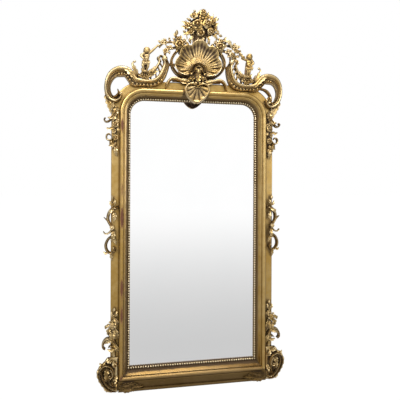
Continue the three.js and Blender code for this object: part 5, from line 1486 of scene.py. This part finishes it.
def string_pearls(name, tree, line, replaced):
    """Runs the pearl tree along a line of [x, z] points and keeps the result as a plain mesh."""
    curve = bpy.data.curves.new(name, "CURVE")
    curve.dimensions = "3D"
    spline = curve.splines.new("POLY")
    spline.points.add(len(line) - 1)
    for point, (x, z) in zip(spline.points, line):
        point.co = (x * MM, PEARL_Y * MM, z * MM, 1)
    length = sum(math.dist(a, b) for a, b in zip(line, line[1:]))
    holder = bpy.data.objects.new(name + "_line", curve)
    bpy.context.scene.collection.objects.link(holder)
    modifier = holder.modifiers.new("Pearls", "NODES")
    modifier.node_group = tree
    sockets = {item.name: item.identifier for item in tree.interface.items_tree if item.in_out == "INPUT"}
    modifier[sockets["Pitch"]] = length / round(length / PEARL_PITCH) * MM * 0.9999
    modifier[sockets["Radius"]] = PEARL_RADIUS * MM
    mesh = bpy.data.meshes.new_from_object(holder.evaluated_get(bpy.context.evaluated_depsgraph_get()))
    bpy.data.objects.remove(holder)
    bpy.data.curves.remove(curve)
    mesh.name = name
    depth = vertices_of(mesh)[:, 1] / MM
    # The pearls' fronts take a painted highlight and their backs, between the pearls, painted shade.
    set_attribute(mesh, "relief", np.clip(0.5 - (depth - PEARL_Y + 1.5) / (1.5 * PEARL_RADIUS), 0, 1))
    set_attribute(mesh, "wear", np.zeros(len(depth)))
    string = bpy.data.objects.new(name, mesh)
    bpy.context.scene.collection.objects.link(string)
    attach(string, "frame")
    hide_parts(replaced)


def both(name, carving, node, material):
    """A piece drawn on the right, and its mirrored twin on the left."""
    twin = mirrored(carving)
    piece(name + "_right", carving, [node + "_right"], material)
    piece(name + "_left", twin, [node + "_left"], material)


GOLD = (0.43, 0.264, 0.071)
GILDINGS = {
    # gold, pale gold for random leaves and the painted highlight, glaze and painted shade, painted highlight,
    # bared bole, roughness, bump
    "Carved gilding": ((0.37, 0.24, 0.078), (0.78, 0.64, 0.39), 1.0, 0.75, 0.2, 0.38, 0.35),
    "Burnished gilding": (GOLD, (0.72, 0.54, 0.25), 0.8, 0.4, 0.2, 0.32, 0.22),
    "Worn gilding": (GOLD, (0.66, 0.47, 0.22), 0.8, 0.3, 0.5, 0.36, 0.3),
    # This row and the next are darker copies of the gold: painted shade on the bottom torus, the bottom rail,
    # the base and its corner leaves.
    "Gilding in painted shade": ((0.2, 0.118, 0.035), (0.36, 0.25, 0.12), 0.9, 0.4, 0.3, 0.4, 0.3),
    "Shaded gilding": ((0.115, 0.068, 0.02), (0.2, 0.135, 0.06), 0.8, 0.3, 0.3, 0.5, 0.3),
    "Pearl gilding": ((0.5, 0.36, 0.18), (0.85, 0.74, 0.52), 1.0, 0.8, 0.1, 0.34, 0.15)}
leaf_group = aged_leaf_and_painted_light()
carved, smooth, worn, painted_shade_gilt, shaded, pearl_gilt = [
    gilt(name, leaf_group, *values) for name, values in GILDINGS.items()]
upright_pine = pine_finish("Old pine, upright", (0.36, 0.22, 0.1), (0.17, 0.09, 0.038), along=(1, 1, 0.06))
level_pine = pine_finish("Old pine, level", (0.34, 0.205, 0.092), (0.16, 0.085, 0.036), along=(0.06, 1, 1))
iron = iron_finish()
silver = silvered_glass()

bpy.context.scene.view_settings.view_transform = "Standard"
make_camera()
make_world()
make_floor()
make_lamp("Key", (-2.4, -3.6, 3.8), (0, 0, 1.3), 1.8, 125, (1, 0.985, 0.96))
make_lamp("Fill", (3.2, -3.2, 2.0), (0, 0, 1.1), 2.4, 40, (0.95, 0.975, 1))
make_lamp("Top", (0.0, -1.0, 3.6), (0, 0, 1.9), 1.3, 48)

for side, hand in ((-1, "left"), (1, "right")):
    piece("gilt_stile_" + hand, run_along(BORDER_SECTION, "side", side, foot=0), ["stile_" + hand], smooth)
    piece("gilt_corner_" + hand, run_along(BORDER_SECTION, "corner", side), ["corner_block_" + hand], smooth)
    piece("torus_" + hand, run_along(MOULDING_SECTION, "side", side), ["moulding_" + hand],
          worn if side < 0 else smooth, "worn_gilding" if side < 0 else "gilding")
    piece("torus_corner_" + hand, run_along(MOULDING_SECTION, "corner", side), ["moulding_corner_" + hand],
          smooth)
piece("gilt_top_rail", run_along(BORDER_SECTION, "top"), ["top_rail"], smooth)
piece("torus_top", run_along(MOULDING_SECTION, "top"), ["moulding_top"], smooth)
# The bottom torus, bottom rail and base take darker gilding as painted shade.
piece("torus_bottom", run_along(MOULDING_SECTION, "bottom"), ["moulding_bottom"], painted_shade_gilt)
rail_half = SIGHT_HALF + REBATE - GLUE_GAP
piece("gilt_bottom_rail", eased_block(-rail_half, rail_half, BORDER_Y, BACK_Y, 0, SIGHT_BOTTOM - REBATE),
      ["bottom_rail"], shaded)
piece("base_band", base_moulding(), ["base_moulding"], shaded)

piece("scroll_right", crest_scroll(tendril=True), ["crest_scroll_right"], carved)
piece("scroll_left", mirrored(crest_scroll(tendril=False)), ["crest_scroll_left"], carved)
both("shell_ring", shell_ring(), "crest_ring", carved)
both("arched_branch", crest_branch(), "crest_branch", carved)
both("bowl_rocaille", bowl_leaves(), "bowl_leaves", carved)
both("upper_festoon", side_festoon(), "side_festoon", carved)
both("middle_drop", side_drop(), "side_drop", carved)
both("foot_spray", lower_spray(), "lower_spray", carved)
both("rocaille_foot", scroll_foot(), "scroll_foot", carved)
# The corner leaves take the darkest gilding as painted shade.
both("corner_leaves", base_leaf(), "base_leaf", shaded)
piece("scallop", scallop(), ["crest_shell"], carved)
piece("hinge_knot", hinge_knot(), ["crest_boss"], carved)
piece("hanging_cartouche", cartouche(), ["crest_cartouche"], carved)
piece("flower_bunch", bouquet(), ["crest_bouquet"], carved)
piece("festoon_right", garland(1), ["garland_right"], carved)
piece("festoon_left", mirrored(garland(-1)), ["garland_left"], carved)
piece("boy_left", putto(-1, LEFT_POSE), ["putto_left"], carved)
piece("boy_right", putto(1, RIGHT_POSE), ["putto_right"], carved)
piece("crest_backing", crest_board(), ["crest_board"], upright_pine, "pine")

# Pieces painted darker all over, and by how much: painted shade on the right stile, the putti and the bottom
# torus; the others are simply painted darker.
PAINTED_DARKER = {
    "hanging_cartouche": 0.17, "hinge_knot": 0.16, "boy_left": 0.24, "boy_right": 0.18,
    "gilt_stile_right": 0.18, "upper_festoon_right": 0.1, "torus_corner_right": 0.04,
    "gilt_stile_left": 0.05, "torus_top": 0.07, "torus_bottom": 0.1, "torus_left": 0.05,
    "middle_drop_right": 0.06, "foot_spray_right": 0.06}
field = front_field([carving for _, carving, _, _, _ in PIECES])
near_field = blurred(field, 6)  # reaches in millimetres
wide_field = blurred(field, 14)


def relief_of(name, points):
    """How proud each point stands of what lies round it, from 0 in a hollow to 1 on a proud top. Low values
    take umber glaze and painted shade, high values a painted highlight, and some pieces are painted darker.
    """
    x, y, z = points.T
    proud = (0.55 * (look_up(near_field, points) - y) / 7
             + 0.45 * (look_up(wide_field, points) - y) / 13)
    # Points that lie behind a part in front of them take painted shade.
    hidden = np.clip((y - look_up(field, points) - 4) / 14, 0, 1)
    relief = np.clip(0.5 + 0.5 * np.tanh(proud) - 0.45 * hidden, 0, 1)
    if name.startswith("gilt_"):
        relief = np.clip(relief, 0.42, 0.6)
    if name == "scallop":
        # Painted shade on the fan's upper half, deepening away from the hinge; the lobes beside the hinge are
        # left lighter.
        from_hinge = np.hypot(x - 14, z - SHELL_Z)
        relief = relief - 0.2 * np.clip((from_hinge - 75) / 60, 0, 1) * np.clip((z - SHELL_Z - 10) / 50, 0, 1)
    # Painted shade on the top torus's lower half, which faces down.
    if name == "torus_top":
        relief = relief - 0.22 * np.clip((SIGHT_TOP + 52 - z) / 10, 0, 1)
    return np.clip(relief - PAINTED_DARKER.get(name, 0), 0, 1)


def wear_and_darkening(points):
    """The left torus is the most worn, with the bole bare in long patches; it is also painted darker below
    the corner.
    """
    x, _, z = points.T
    below = np.clip((CORNER_Z - z) / 80, 0, 1)
    streak = np.sin(z / 31) * 0.3 + np.sin(z / 83 + 1.3) * 0.4 + 0.35
    torus = np.exp(-(((x + SIGHT_HALF + 47) / 11) ** 2)) * below
    return np.clip(torus * streak, 0, 1), 0.22 * below


for name, carving, replaced, material, slot in PIECES:
    mesh = mesh_from(name, carving)
    points = vertices_of(mesh) / MM
    relief = relief_of(name, points)
    wear = np.zeros(len(points))
    if slot == "worn_gilding":
        wear, darker_below_corner = wear_and_darkening(points)
        relief = relief - darker_below_corner
    set_attribute(mesh, "relief", relief)
    set_attribute(mesh, "wear", wear)
    mesh.shade_smooth()
    mesh.set_sharp_from_angle(angle=math.radians(42))
    mesh.materials.append(material)
    made = bpy.data.objects.new(name, mesh)
    bpy.context.scene.collection.objects.link(made)
    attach(made, "frame")
    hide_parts(*replaced)

pearl_tree = pearls_tree(pearl_gilt)
pearl_line = SIGHT_HALF + PEARL_SEAT / 2
pearl_foot = SIGHT_BOTTOM - PEARL_SEAT / 2
pearl_bend = SIGHT_RADIUS + PEARL_SEAT / 2
for side, hand in ((-1, "left"), (1, "right")):
    ends = [(side * pearl_line, pearl_foot + PEARL_PITCH), (side * pearl_line, CORNER_Z - PEARL_PITCH / 2)]
    string_pearls("pearls_" + hand, pearl_tree, ends, "pearl_course_" + hand)
arc = [(CORNER_X + pearl_bend * math.cos(turn), CORNER_Z + pearl_bend * math.sin(turn))
       for turn in np.linspace(0, math.pi / 2, 41)]
string_pearls("pearls_top", pearl_tree, [(-x, z) for x, z in arc] + arc[::-1], "pearl_course_top")
string_pearls("pearls_bottom", pearl_tree, [(-pearl_line, pearl_foot), (pearl_line, pearl_foot)],
              "pearl_course_bottom")

for node, made in nodes.items():
    if made.hide_render:
        continue
    finish = None
    if node == "mirror_plate":
        finish = silver
    elif node.startswith("hanger"):
        finish = iron
    elif node.startswith(("glass_fillet_left", "glass_fillet_right", "backboard", "crest_brace")):
        finish = upright_pine
    elif node.startswith(("glass_fillet", "batten")):
        finish = level_pine
    if finish is not None:
        made.data.materials.clear()
        made.data.materials.append(finish)
